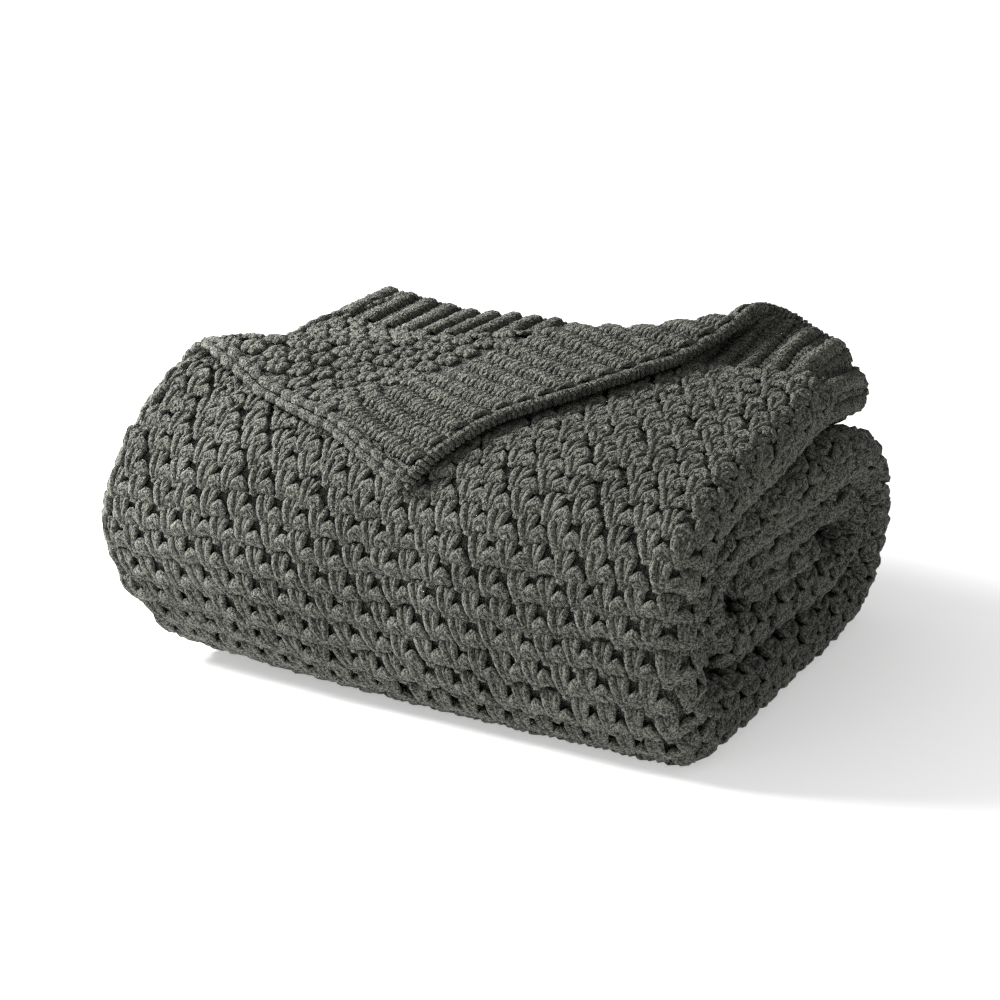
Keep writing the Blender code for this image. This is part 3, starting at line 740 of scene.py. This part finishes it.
def knitting_tree():
    """Geometry nodes that lay stitches out in rows on the flat and carry them onto a guide.

    The guide is sampled at a place on the flat cloth, so the position is read twice: the guide's
    own, and that of the stitch as it lies flat.
    """
    tree = bpy.data.node_groups.new("knit_onto_folds", "GeometryNodeTree")
    tree.interface.new_socket("Geometry", in_out="INPUT", socket_type="NodeSocketGeometry")
    tree.interface.new_socket("Geometry", in_out="OUTPUT", socket_type="NodeSocketGeometry")
    for name, kind, default in KNIT_INPUTS:
        socket = tree.interface.new_socket(name, in_out="INPUT", socket_type=kind)
        if default is not None:
            socket.default_value = default
    make = TreeMaker(tree)
    given = make.node("NodeGroupInput").outputs
    guide = given["Geometry"]

    def scatter(reach, salt):
        seed = make.math("ADD", given["Seed"], float(salt))
        spread = make.node("FunctionNodeRandomValue", {"Seed": seed}, data_type="FLOAT_VECTOR")
        make.feed(spread.inputs[0], (-1, -1, -1))
        make.feed(spread.inputs[1], (1, 1, 1))
        return make.vector("SCALE", spread.outputs[0], reach)

    def attribute(name, kind):
        return make.node("GeometryNodeInputNamedAttribute", {"Name": name},
                         data_type=kind).outputs[0]

    def on_guide(value, flat, kind):
        spot = make.vector("DIVIDE", make.vector("SUBTRACT", flat, given["Flat Low"]),
                           given["Flat Size"])
        spot = make.vector("MINIMUM", make.vector("MAXIMUM", spot, LAY_LOW), LAY_HIGH)
        sample = make.node("GeometryNodeSampleUVSurface", data_type=kind)
        for socket, fed in enumerate((guide, value, attribute("lay", "FLOAT_VECTOR"), spot)):
            make.feed(sample.inputs[socket], fed)
        return sample.outputs[0]

    # The places of the stitches on the flat cloth.
    index = make.node("GeometryNodeInputIndex")
    column = make.math("MODULO", index, given["Columns"])
    row = make.math("FLOOR", make.math("DIVIDE", index, given["Columns"]))
    row = make.math("ADD", row, given["Rows Before"])
    shift = make.math("MULTIPLY", make.math("MODULO", row, 2.0), given["Row Shift"])
    x = make.math("MULTIPLY", make.math("ADD", column, shift), given["Column Width"])
    x = make.math("ADD", x, given["First Column"])
    y = make.math("MULTIPLY", row, given["Row Height"])
    y = make.math("MULTIPLY", make.math("ADD", y, given["First Row"]), -1.0)
    place = make.node("ShaderNodeCombineXYZ", {0: x, 1: y})
    place = make.vector("ADD", place.outputs[0],
                        make.vector("MULTIPLY", scatter(given["Wander"], 1), (1, 1, 0)))
    points = make.node("GeometryNodePoints",
                       {"Count": make.math("MULTIPLY", given["Columns"], given["Rows"]),
                        "Position": place})
    # A stitch at each place that the guide shows, each a little different.
    here = make.node("GeometryNodeInputPosition").outputs[0]
    keep = on_guide(attribute("shown", "FLOAT"), here, "FLOAT")
    keep = make.math("GREATER_THAN", keep, 0.5)
    stitch = make.node("GeometryNodeObjectInfo", {"Object": given["Stitch"]})
    turn = make.vector("MULTIPLY", scatter(given["Turn"], 2), TURN_SHARES)
    size = make.vector("ADD", scatter(SIZE_SPREAD, 3), (1, 1, 1))
    laid = make.node("GeometryNodeInstanceOnPoints",
                     {"Points": points.outputs[0], "Selection": keep,
                      "Instance": stitch.outputs["Geometry"], "Rotation": turn, "Scale": size})
    # A random tone for each stitch, its own; on the ground cloth the same attribute holds painted
    # shade.
    tint = make.node("FunctionNodeRandomValue", {"Seed": given["Seed"]}, data_type="FLOAT")
    tinted = make.node("GeometryNodeStoreNamedAttribute",
                       {"Geometry": laid.outputs[0], "Name": "tint", "Value": tint.outputs[1]},
                       data_type="FLOAT", domain="INSTANCE")
    flat = make.node("GeometryNodeRealizeInstances", {"Geometry": tinted.outputs[0]})
    # From the flat cloth to the folds, and a little uneven.
    base = on_guide(here, here, "FLOAT_VECTOR")
    normal = on_guide(attribute("out", "FLOAT_VECTOR"), here, "FLOAT_VECTOR")
    height = make.node("ShaderNodeSeparateXYZ", {0: here}).outputs[2]
    height = make.math("ADD", height, given["Face Height"])
    height = make.math("MULTIPLY", height, given["Side"])
    carried = make.vector("ADD", base, make.vector("SCALE", normal, height))
    rough = make.node("ShaderNodeTexNoise", {"Vector": carried, "Scale": 240.0, "Detail": 1.0})
    rough = make.vector("SUBTRACT", rough.outputs["Color"], (0.5, 0.5, 0.5))
    carried = make.vector("ADD", carried, make.vector("SCALE", rough, given["Unevenness"]))
    # Pressed flat on the floor: a soft maximum of the height and nought.
    apart = make.node("ShaderNodeSeparateXYZ", {0: carried}).outputs
    rest = make.math("ADD", make.math("MULTIPLY", apart[2], apart[2]), FLOOR_SOFTNESS ** 2)
    rest = make.math("MULTIPLY", make.math("ADD", make.math("SQRT", rest), apart[2]), 0.5)
    rest = make.math("ADD", rest, FLOOR_CLEARANCE)
    carried = make.node("ShaderNodeCombineXYZ", {0: apart[0], 1: apart[1], 2: rest}).outputs[0]
    moved = make.node("GeometryNodeSetPosition",
                      {"Geometry": flat.outputs[0], "Position": carried})
    smooth = make.node("GeometryNodeSetShadeSmooth", {"Geometry": moved.outputs[0]})
    dyed = make.node("GeometryNodeSetMaterial",
                     {"Geometry": smooth.outputs[0], "Material": given["Yarn"]})
    make.node("NodeGroupOutput", {"Geometry": dyed.outputs[0]})
    return tree


def faces_out(mesh):
    """Turn every closed form in a mesh right side out."""
    work = bmesh.new()
    work.from_mesh(mesh)
    bmesh.ops.recalc_face_normals(work, faces=work.faces)
    work.to_mesh(mesh)
    work.free()


def add_piece(name, mesh):
    """A finished mesh as a piece of the blanket."""
    piece = add_object(name, mesh)
    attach(piece, "root")
    return piece


def knit(name, guide, stitch, **inputs):
    """Knit a piece onto a guide: run the tree on it and keep the result as a plain mesh."""
    tree = bpy.data.node_groups.get("knit_onto_folds") or knitting_tree()
    carrier = guide.to_object("guide_" + name)
    shape = bpy.data.objects.get("stitch_" + stitch) or stitch_shape(stitch)
    modifier = carrier.modifiers.new("knit", "NODES")
    modifier.node_group = tree
    given = {"Stitch": shape, "Yarn": chenille(), "Flat Low": (*guide.low, 0.0),
             "Flat Size": (*guide.size, 1.0)}
    given.update({key.replace("_", " ").title(): value for key, value in inputs.items()})
    for item in tree.interface.items_tree:
        if item.item_type == "SOCKET" and item.in_out == "INPUT" and item.name in given:
            modifier[item.identifier] = given.pop(item.name)
    if given:
        raise RuntimeError(f"the knitting tree has no input named {sorted(given)}")
    bpy.context.view_layer.update()
    graph = bpy.context.evaluated_depsgraph_get()
    mesh = bpy.data.meshes.new_from_object(carrier.evaluated_get(graph))
    bpy.data.objects.remove(carrier)
    if not len(mesh.polygons):
        raise RuntimeError(f"{name} has no stitches")
    faces_out(mesh)
    mesh.name = name
    add_piece(name, mesh)


# Finish


def chenille():
    """Velvety grey-green chenille: a mottled pile, painted with shade in its hollows and with light
    on its tips, a soft sheen and a fine nap.
    """
    name = "chenille"
    if name in bpy.data.materials:
        return bpy.data.materials[name]
    yarn = bpy.context.scene.blanket_yarn
    material = bpy.data.materials.new(name)
    material.use_nodes = True
    make = TreeMaker(material.node_tree)
    shader = material.node_tree.nodes["Principled BSDF"]
    spot = make.node("ShaderNodeTexCoord").outputs["Object"]
    nap = make.node("ShaderNodeTexNoise", {"Vector": spot, "Scale": 520.0, "Detail": 1.0,
                                           "Roughness": 0.6})
    tufts = make.node("ShaderNodeTexVoronoi", {"Vector": spot, "Scale": 340.0})
    clouds = make.node("ShaderNodeTexNoise", {"Vector": spot, "Scale": 14.0, "Detail": 2.0})
    # The stitches' random tone, and on the ground cloth its painted shade.
    tint = make.node("ShaderNodeAttribute", attribute_name="tint").outputs["Fac"]
    ply = make.node("ShaderNodeAttribute", attribute_name="ply").outputs["Vector"]
    apart = make.node("ShaderNodeCombineXYZ", {2: make.math("MULTIPLY", tint, 40.0)})
    plies = make.node("ShaderNodeTexNoise", {"Vector": make.vector("ADD", ply, apart.outputs[0]),
                                             "Scale": 2.4, "Detail": 1.0})
    # The pile's relief feeds both the bump and the colour: its hollows are painted with shade and
    # its tips with light, over the yarn's own mottled tone.
    pile = make.math("SUBTRACT", make.math("MULTIPLY", nap.outputs["Fac"], NAP_SHARE),
                     make.math("MULTIPLY", tufts.outputs["Distance"], TUFT_SHARE))
    pile = make.math("ADD", pile, make.math("MULTIPLY", plies.outputs["Fac"], PLY_SHARE))
    tone = make.math("ADD", pile, make.math("MULTIPLY", clouds.outputs["Fac"], CLOUD_SHARE))
    tone = make.math("ADD", tone, make.math("MULTIPLY", tint, TINT_AND_SHADE_SHARE))
    ramp = make.node("ShaderNodeValToRGB", {"Fac": make.math("MULTIPLY", tone, 0.5)})
    ends = zip(ramp.color_ramp.elements, TONE_RANGE, (yarn.shade_colour, yarn.lit_pile_colour))
    for end, position, colour in ends:
        end.position = position
        end.color = (*colour, 1.0)
    bump = make.node("ShaderNodeBump", {"Height": pile, "Strength": 1.0, "Distance": PILE_DEPTH})
    finish = {"Base Color": ramp.outputs["Color"], "Normal": bump.outputs["Normal"],
              "Roughness": 0.95, "Specular IOR Level": 0.15, "Sheen Weight": 0.25,
              "Sheen Roughness": 0.5}
    for socket, value in finish.items():
        make.feed(shader.inputs[socket], value)
    return material


def sheet_from_grid(name, middle, thick):
    """A closed sheet from a grid of places on its middle: two faces and a closed rim."""
    normal = out_normals(middle)
    over = to_frame(middle + normal * thick / 2)
    under = to_frame(middle - normal * thick / 2)
    rows, cols = middle.shape[:2]
    number = np.arange(rows * cols).reshape(rows, cols)
    faces = []
    for side in (number, number + rows * cols):
        faces += grid_faces(side)
    rim = np.concatenate([number[0, :-1], number[:-1, -1], number[-1, :0:-1], number[:0:-1, 0]])
    for a, b in zip(rim.tolist(), np.roll(rim, -1).tolist()):
        faces.append((a, b, b + rows * cols, a + rows * cols))
    mesh = bpy.data.meshes.new(name)
    mesh.from_pydata(np.vstack([over.reshape(-1, 3), under.reshape(-1, 3)]).tolist(), [], faces)
    faces_out(mesh)
    for face in mesh.polygons:
        face.use_smooth = True
    return mesh


def cloth_middle(line, surface):
    """The middle of the whole cloth: four plies, folded in four and rolled, corner turned over.

    Its runs go from the top ply's left edge to the right, round the outer turn, back along the
    lowest ply, round the fold at the left, out and round the inner turn, and in to the second
    ply's left edge.
    """
    thick = line["thick"][:, None]
    left = line["left"][:, None]
    x_right = WIDTH + line["right"][:, None] - thick / 2
    share = np.linspace(0, 1, 30)[None, :]
    turn = np.linspace(0, math.pi, 9)[None, 1:-1]
    outer, inner = 0.5 - PLY_DEPTHS[0], 0.5 - PLY_DEPTHS[1]
    small = (PLY_DEPTHS[3] - PLY_DEPTHS[2]) / 2

    def straight(start, end, ply):
        return start + (end - start) * share, np.full_like(share, PLY_DEPTHS[ply])

    runs = [
        straight(left, x_right, 0),
        (x_right + thick * outer * np.sin(turn), 0.5 - outer * np.cos(turn)),
        straight(x_right, left + INNER_FOLD_IN, 3),
        (left + INNER_FOLD_IN - thick * small * np.sin(turn),
         PLY_DEPTHS[3] - small + small * np.cos(turn)),
        straight(left + INNER_FOLD_IN, x_right, 2),
        (x_right + thick * inner * np.sin(turn), 0.5 + inner * np.cos(turn)),
        straight(x_right, left + SECOND_EDGE_IN, 1),
    ]
    x = np.hstack([np.broadcast_to(run[0], (len(thick), run[0].shape[1])) for run in runs])
    depth = np.hstack([np.broadcast_to(run[1], (len(thick), run[1].shape[1])) for run in runs])
    points = strip_grid(line, x, depth)
    walked = walked_along(points[:, :share.shape[1]])
    rows = walked < TURNED_LENGTH
    top_x = x[rows, :share.shape[1]]
    from_hem = np.broadcast_to(walked[rows, None], top_x.shape)
    turned = top_ply(surface, top_x, from_hem)
    past, along = crease_frame(top_x, from_hem)
    before_lift, lift_blend, right_margin, right_blend = 0.03, 0.025, 0.018, 0.02
    blend = np.clip((past - crease_value("lift", along) + before_lift) / lift_blend, 0, 1)
    blend = (blend * np.clip((WIDTH - right_margin - top_x) / right_blend, 0, 1))[..., None]
    flat = points[rows, :share.shape[1]]
    points[rows, :share.shape[1]] = turned * blend + flat * (1 - blend)
    return points


# Settings, pieces and panel


class BlanketYarn(PropertyGroup):
    """The yarn and its gauge."""

    column_width: FloatProperty(name="Column width", description="From one stitch to the next",
                                default=0.0268, min=0.01, unit="LENGTH")
    row_height: FloatProperty(name="Row height", description="From one row to the next",
                              default=0.0228, min=0.01, unit="LENGTH")
    rib_width: FloatProperty(name="Rib width", description="From one rib to the next",
                             default=0.025, min=0.01, unit="LENGTH")
    rib_course: FloatProperty(name="Rib course", description="From one rib stitch to the next",
                              default=0.0060, min=0.004, unit="LENGTH")
    # The ramp's ends: the lit pile, with painted light on its tips, and painted shade down in the
    # pile.
    lit_pile_colour: FloatVectorProperty(name="Pile", description="Colour of the lit pile",
                                     default=(0.222, 0.224, 0.181), subtype="COLOR")
    shade_colour: FloatVectorProperty(name="Shade", description="Colour down in the pile",
                                      default=(0.016, 0.0165, 0.0130), subtype="COLOR")
    seed: IntProperty(name="Seed", description="Start of the stitches' unevenness", default=7)


class BlanketStudio(PropertyGroup):
    """Light and view."""

    key_power: FloatProperty(name="Key light", description="Power of the soft key light",
                             default=50.0, unit="POWER")
    sky_light: FloatProperty(name="Sky light", description="Strength of the light from all round",
                             default=0.30)
    backdrop: FloatProperty(name="Backdrop", description="Brightness of the backdrop",
                            default=1.0)
    # The floor's glow is painted light, weaker near the blanket as painted shade round it.
    floor_glow: FloatProperty(name="Floor glow", description="Light from under the white floor",
                              default=0.42)
    far_glow: FloatProperty(name="Far glow", description="The same, far from the blanket",
                            default=0.78)
    floor_colour: FloatVectorProperty(name="Floor", description="Colour of the floor",
                                      default=(0.90, 0.90, 0.90), subtype="COLOR")
    lens: FloatProperty(name="Lens", description="Focal length", default=85.0, subtype="DISTANCE")


def body_rows(guide, yarn):
    """The gauge of the body and the rows of it that fall in a guide's run, as tree inputs."""
    height = yarn.row_height
    before = max(math.ceil((guide.run[0] - FIRST_BODY_ROW) / height), 0)
    after = math.ceil((guide.run[1] - FIRST_BODY_ROW) / height)
    return {"rows_before": before, "rows": after - before, "column_width": yarn.column_width,
            "row_height": height, "first_row": FIRST_BODY_ROW}


def scallop_rows(**inputs):
    """The gauge of the wrong side's scallops, as tree inputs, with more of them."""
    return {"rows": 20, "column_width": 0.0245, "row_height": 0.0175,
            "first_row": RIB_BORDER + 0.004, "face_height": PLY / 2, **inputs}


def rib_courses(yarn, more, **inputs):
    """The gauge of the border's ribs and their courses, and so many more, as tree inputs."""
    return {"columns": 22, "rows": int(RIB_BORDER / yarn.rib_course) + more, "row_shift": 0.0,
            "column_width": yarn.rib_width, "row_height": yarn.rib_course,
            "first_row": FIRST_RIB_ROW, "face_height": PLY / 2, "wander": 0.0006, "turn": 0.05,
            **inputs}


def bind_hem(name, guide, length, **inputs):
    """Bind a length of a hem with turns of yarn."""
    knit(name, guide, "edge", columns=int(length / HEM_PITCH), rows=1, column_width=HEM_PITCH,
         wander=0.0004, turn=0.03, **inputs)


class BLANKET_OT_cloth(Operator):
    """Fold the ground of the knit, one sheet from its selvage round to its other selvage"""

    bl_idname = "blanket.cloth"
    bl_label = "Folded cloth"

    def execute(self, context):
        middle = cloth_middle(fold_line(CLOTH_REFINE), top_surface())
        mesh = sheet_from_grid("cloth", middle, SHEET_THICK)
        # Painted shade: the ground cloth is darkened all over, for the shade in the hollows between
        # the stitches.
        tint = mesh.attributes.new("tint", "FLOAT", "POINT")
        tint.data.foreach_set("value", [GROUND_PAINTED_SHADE] * len(mesh.vertices))
        mesh.materials.append(chenille())
        cloth = add_piece("blanket_cloth", mesh)
        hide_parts("blanket")
        return {"FINISHED"}


class BLANKET_OT_body(Operator):
    """Knit the body's stitches round the outside of the roll"""

    bl_idname = "blanket.body"
    bl_label = "Body stitches"

    def execute(self, context):
        yarn = context.scene.blanket_yarn
        line = fold_line(REFINE)
        for number, (name, first, last, left_out, relief) in enumerate(SKIN_RUNS):
            low = left_out * yarn.column_width - SKIN_WIDTH
            guide = skin_guide(line, station(first), station(last), low, SKIN_UNDER)
            knit(name, guide, "fan", columns=SKIN_COLUMNS - left_out, side=relief,
                 first_column=low - FAN_LEFT, seed=yarn.seed + number, **body_rows(guide, yarn))
        guide = bight_guide(line, *BIGHT_ENDS)
        knit("body_left", guide, "fan", columns=3, first_column=-0.034, seed=yarn.seed + 9,
             **body_rows(guide, yarn))
        return {"FINISHED"}


class BLANKET_OT_flap(Operator):
    """Knit the turned corner: the wrong side's scallops, the back and the ribbed border"""

    bl_idname = "blanket.flap"
    bl_label = "Turned corner"

    def execute(self, context):
        yarn = context.scene.blanket_yarn
        guide = corner_guide(top_surface())
        past, lifted = crease_frame(guide.across, guide.along)[0], past_lift(guide)
        in_body = guide.along > RIB_BORDER
        in_border = guide.along < FIRST_BODY_ROW
        wrong_side = (lifted > WRONG_SIDE_FROM) & (guide.across > 0.008)
        guide.shown = (wrong_side & in_body).astype(float)
        knit("flap_body", guide, "scallop", **scallop_rows(
            columns=25, first_column=-0.0015, side=FLAP_BODY_SIDE, seed=yarn.seed + 20))
        right_side = (lifted > -WRONG_SIDE_FROM) & (past < BACK_TO) & (guide.across > 0.004)
        guide.shown = (right_side & in_body).astype(float)
        knit("flap_back", guide, "fan", columns=21, rows=15, column_width=yarn.column_width,
             row_height=yarn.row_height, first_column=-FAN_LEFT, first_row=FIRST_BODY_ROW,
             face_height=PLY / 2, seed=yarn.seed + 19)
        ribs = rib_courses(yarn, 1, first_column=0.022)
        guide.shown = (wrong_side & in_border).astype(float)
        knit("flap_ribs", guide, "rib", side=FLAP_RIBS_SIDE, seed=yarn.seed + 21, **ribs)
        right_side = (past < BORDER_TO) & (guide.across < TURN_RIBS)
        guide.shown = (right_side & ~in_body).astype(float)
        knit("border_ribs", guide, "rib", seed=yarn.seed + 22, **ribs)
        turn = skin_guide(fold_line(REFINE), 0, station("top middle"), *TURN_RIBS_ENDS)
        turn.shown = (turn.points[..., 0] > TURN_RIBS).astype(float)
        turn.shown *= turn.along < RIB_BORDER
        ribs.update(columns=7, first_column=-0.0655, face_height=0.0)
        knit("turn_ribs", turn, "rib", seed=yarn.seed + 23, **ribs)
        return {"FINISHED"}


class BLANKET_OT_second_ply(Operator):
    """Knit what shows of the second ply behind the turned corner"""

    bl_idname = "blanket.second_ply"
    bl_label = "Second ply"

    def execute(self, context):
        yarn = context.scene.blanket_yarn
        guide = under_guide(top_surface(), 1)
        open_part = (past_lift(guide) > OPEN_FROM) & (guide.across > 0.018)
        guide.shown = (open_part & (guide.along > RIB_BORDER)).astype(float)
        knit("second_body", guide, "scallop",
             **scallop_rows(columns=24, first_column=0.025, seed=yarn.seed + 30))
        guide.shown = (open_part & (guide.along < RIB_BORDER)).astype(float)
        knit("second_ribs", guide, "rib",
             **rib_courses(yarn, -1, first_column=0.024, seed=yarn.seed + 31))
        return {"FINISHED"}


class BLANKET_OT_edges(Operator):
    """Bind the hems at the back and the selvages at the left"""

    bl_idname = "blanket.edges"
    bl_label = "Hems and selvages"

    def execute(self, context):
        yarn = context.scene.blanket_yarn
        surface = top_surface()
        hems = [("hem_top", corner_guide(surface), 0.0)]
        hems += [(f"hem_{ply + 1}", under_guide(surface, ply), 0.016) for ply in (1, 2, 3)]
        for number, (name, guide, first) in enumerate(hems):
            bind_hem(name, guide, TURN_RIBS - first + HEM_PITCH, first_column=first,
                     face_height=PLY / 2, seed=yarn.seed + 40 + number)
        line = fold_line(REFINE)
        turns = (("hem_turn", PLY_DEPTHS[0]), ("hem_turn_2", PLY_DEPTHS[1]))
        for number, (name, inset) in enumerate(turns):
            guide = skin_guide(line, 0, 2, *HEM_TURN_ENDS, inset)
            guide.shown[:] = 1.0
            bind_hem(name, guide, HEM_TURN_LENGTH, first_column=-0.034,
                     face_height=PLY / 2 + HEM_TURN_OUT, seed=yarn.seed + 46 + number)
        edges = (("selvage_outer", ply_left_guide(line, PLY_DEPTHS[0], surface)),
                 ("selvage_inner", ply_left_guide(line, PLY_DEPTHS[1])))
        for number, (name, guide) in enumerate(edges):
            knit(name, guide, "chain", columns=1, rows=int(guide.along.max() / CHAIN_PITCH),
                 row_height=CHAIN_PITCH, first_row=0.004, row_shift=0.0, wander=0.0008,
                 turn=0.06, seed=yarn.seed + 50 + number)
        return {"FINISHED"}


def lay_floor(scene):
    """A white floor with a painted glow, weaker near the blanket as painted shade round it and
    stronger far from it.
    """
    studio = scene.blanket_studio
    corners = [(x * FLOOR_REACH, y * FLOOR_REACH, 0.0)
               for x, y in ((-1, -1), (1, -1), (1, 1), (-1, 1))]
    mesh = bpy.data.meshes.new("floor")
    mesh.from_pydata(corners, [], [(0, 1, 2, 3)])
    floor = add_object("floor", mesh)
    paint = bpy.data.materials.new("floor_paint")
    paint.use_nodes = True
    make = TreeMaker(paint.node_tree)
    spot = make.node("ShaderNodeTexCoord").outputs["Object"]
    far = make.node("ShaderNodeVectorMath", {0: spot}, operation="LENGTH").outputs["Value"]
    # Painted light on the floor, weaker near the blanket as painted shade round it.
    glow = make.node("ShaderNodeMapRange", {
        "Value": far, "From Min": GLOW_FROM, "From Max": GLOW_TO,
        "To Min": studio.floor_glow, "To Max": studio.far_glow}).outputs["Result"]
    finish = {"Base Color": (*studio.floor_colour, 1.0), "Roughness": 0.9,
              "Emission Color": WHITE, "Emission Strength": glow}
    shader = paint.node_tree.nodes["Principled BSDF"]
    for socket, value in finish.items():
        make.feed(shader.inputs[socket], value)
    mesh.materials.append(paint)


def hang_backdrop(scene):
    """A white backdrop for the camera, and a soft light from all round for the rest."""
    studio = scene.blanket_studio
    world = bpy.data.worlds.new("studio")
    world.use_nodes = True
    make = TreeMaker(world.node_tree)
    soft = world.node_tree.nodes["Background"]
    make.feed(soft.inputs["Color"], WHITE)
    make.feed(soft.inputs["Strength"], studio.sky_light)
    bright = make.node("ShaderNodeBackground", {"Color": WHITE, "Strength": studio.backdrop})
    seen = make.node("ShaderNodeLightPath").outputs["Is Camera Ray"]
    both = make.node("ShaderNodeMixShader", {0: seen, 1: soft, 2: bright})
    make.feed(world.node_tree.nodes["World Output"].inputs["Surface"], both)
    scene.world = world
    scene.view_settings.view_transform = "Standard"


def set_lights(scene):
    """The square soft lights."""
    for name, spot, size, power in LIGHTS:
        lamp = bpy.data.lights.new(name, "AREA")
        lamp.shape = "SQUARE"
        lamp.size = size
        lamp.energy = power * scene.blanket_studio.key_power
        light = add_object(name, lamp)
        light.location = spot
        back = Vector(spot) - Vector(LIGHT_AIM)
        light.rotation_euler = back.to_track_quat("Z", "Y").to_euler()


def set_view(scene):
    """The camera, from the front and a little to the right."""
    camera = bpy.data.cameras.new("view")
    camera.sensor_width = 36.0
    camera.lens = scene.blanket_studio.lens
    camera.shift_x, camera.shift_y = VIEW_SHIFT
    camera.clip_start = 0.05
    turn, rise = math.radians(VIEW_AZIMUTH), math.radians(VIEW_ELEVATION)
    back = Vector((math.sin(turn) * math.cos(rise), -math.cos(turn) * math.cos(rise),
                   math.sin(rise)))
    side = Vector((0, 0, 1)).cross(back).normalized()
    pose = Matrix((side, back.cross(side), back)).transposed().to_4x4()
    pose.translation = Vector(VIEW_TARGET) + back * VIEW_DISTANCE
    scene.camera = add_object("view", camera)
    scene.camera.matrix_world = pose


class BLANKET_OT_stage(Operator):
    """Floor, soft light and the view"""

    bl_idname = "blanket.stage"
    bl_label = "Stage"

    def execute(self, context):
        for part in (lay_floor, hang_backdrop, set_lights, set_view):
            part(context.scene)
        return {"FINISHED"}


class BLANKET_PT_panel(Panel):
    """Settings and pieces of the folded blanket"""

    bl_label = "Folded blanket"
    bl_idname = "BLANKET_PT_panel"
    bl_space_type = "VIEW_3D"
    bl_region_type = "UI"
    bl_category = "Blanket"

    def draw(self, context):
        layout = self.layout
        for settings in (context.scene.blanket_yarn, context.scene.blanket_studio):
            box = layout.box()
            for name in settings.__annotations__:
                box.prop(settings, name)
        for operator in OPERATORS:
            layout.operator(operator.bl_idname)


OPERATORS = (BLANKET_OT_cloth, BLANKET_OT_body, BLANKET_OT_flap, BLANKET_OT_second_ply,
             BLANKET_OT_edges, BLANKET_OT_stage)
SETTINGS = {"blanket_yarn": BlanketYarn, "blanket_studio": BlanketStudio}


def register():
    for item in (*SETTINGS.values(), *OPERATORS, BLANKET_PT_panel):
        bpy.utils.register_class(item)
    for name, group in SETTINGS.items():
        setattr(bpy.types.Scene, name, PointerProperty(type=group))


def unregister():
    for name in SETTINGS:
        delattr(bpy.types.Scene, name)
    for item in reversed((*SETTINGS.values(), *OPERATORS, BLANKET_PT_panel)):
        bpy.utils.unregister_class(item)


def main():
    """Build the blanket and its stage."""
    register()
    for operator in OPERATORS:
        getattr(bpy.ops.blanket, operator.bl_idname.split(".")[1])()


if __name__ == "__main__":
    main()
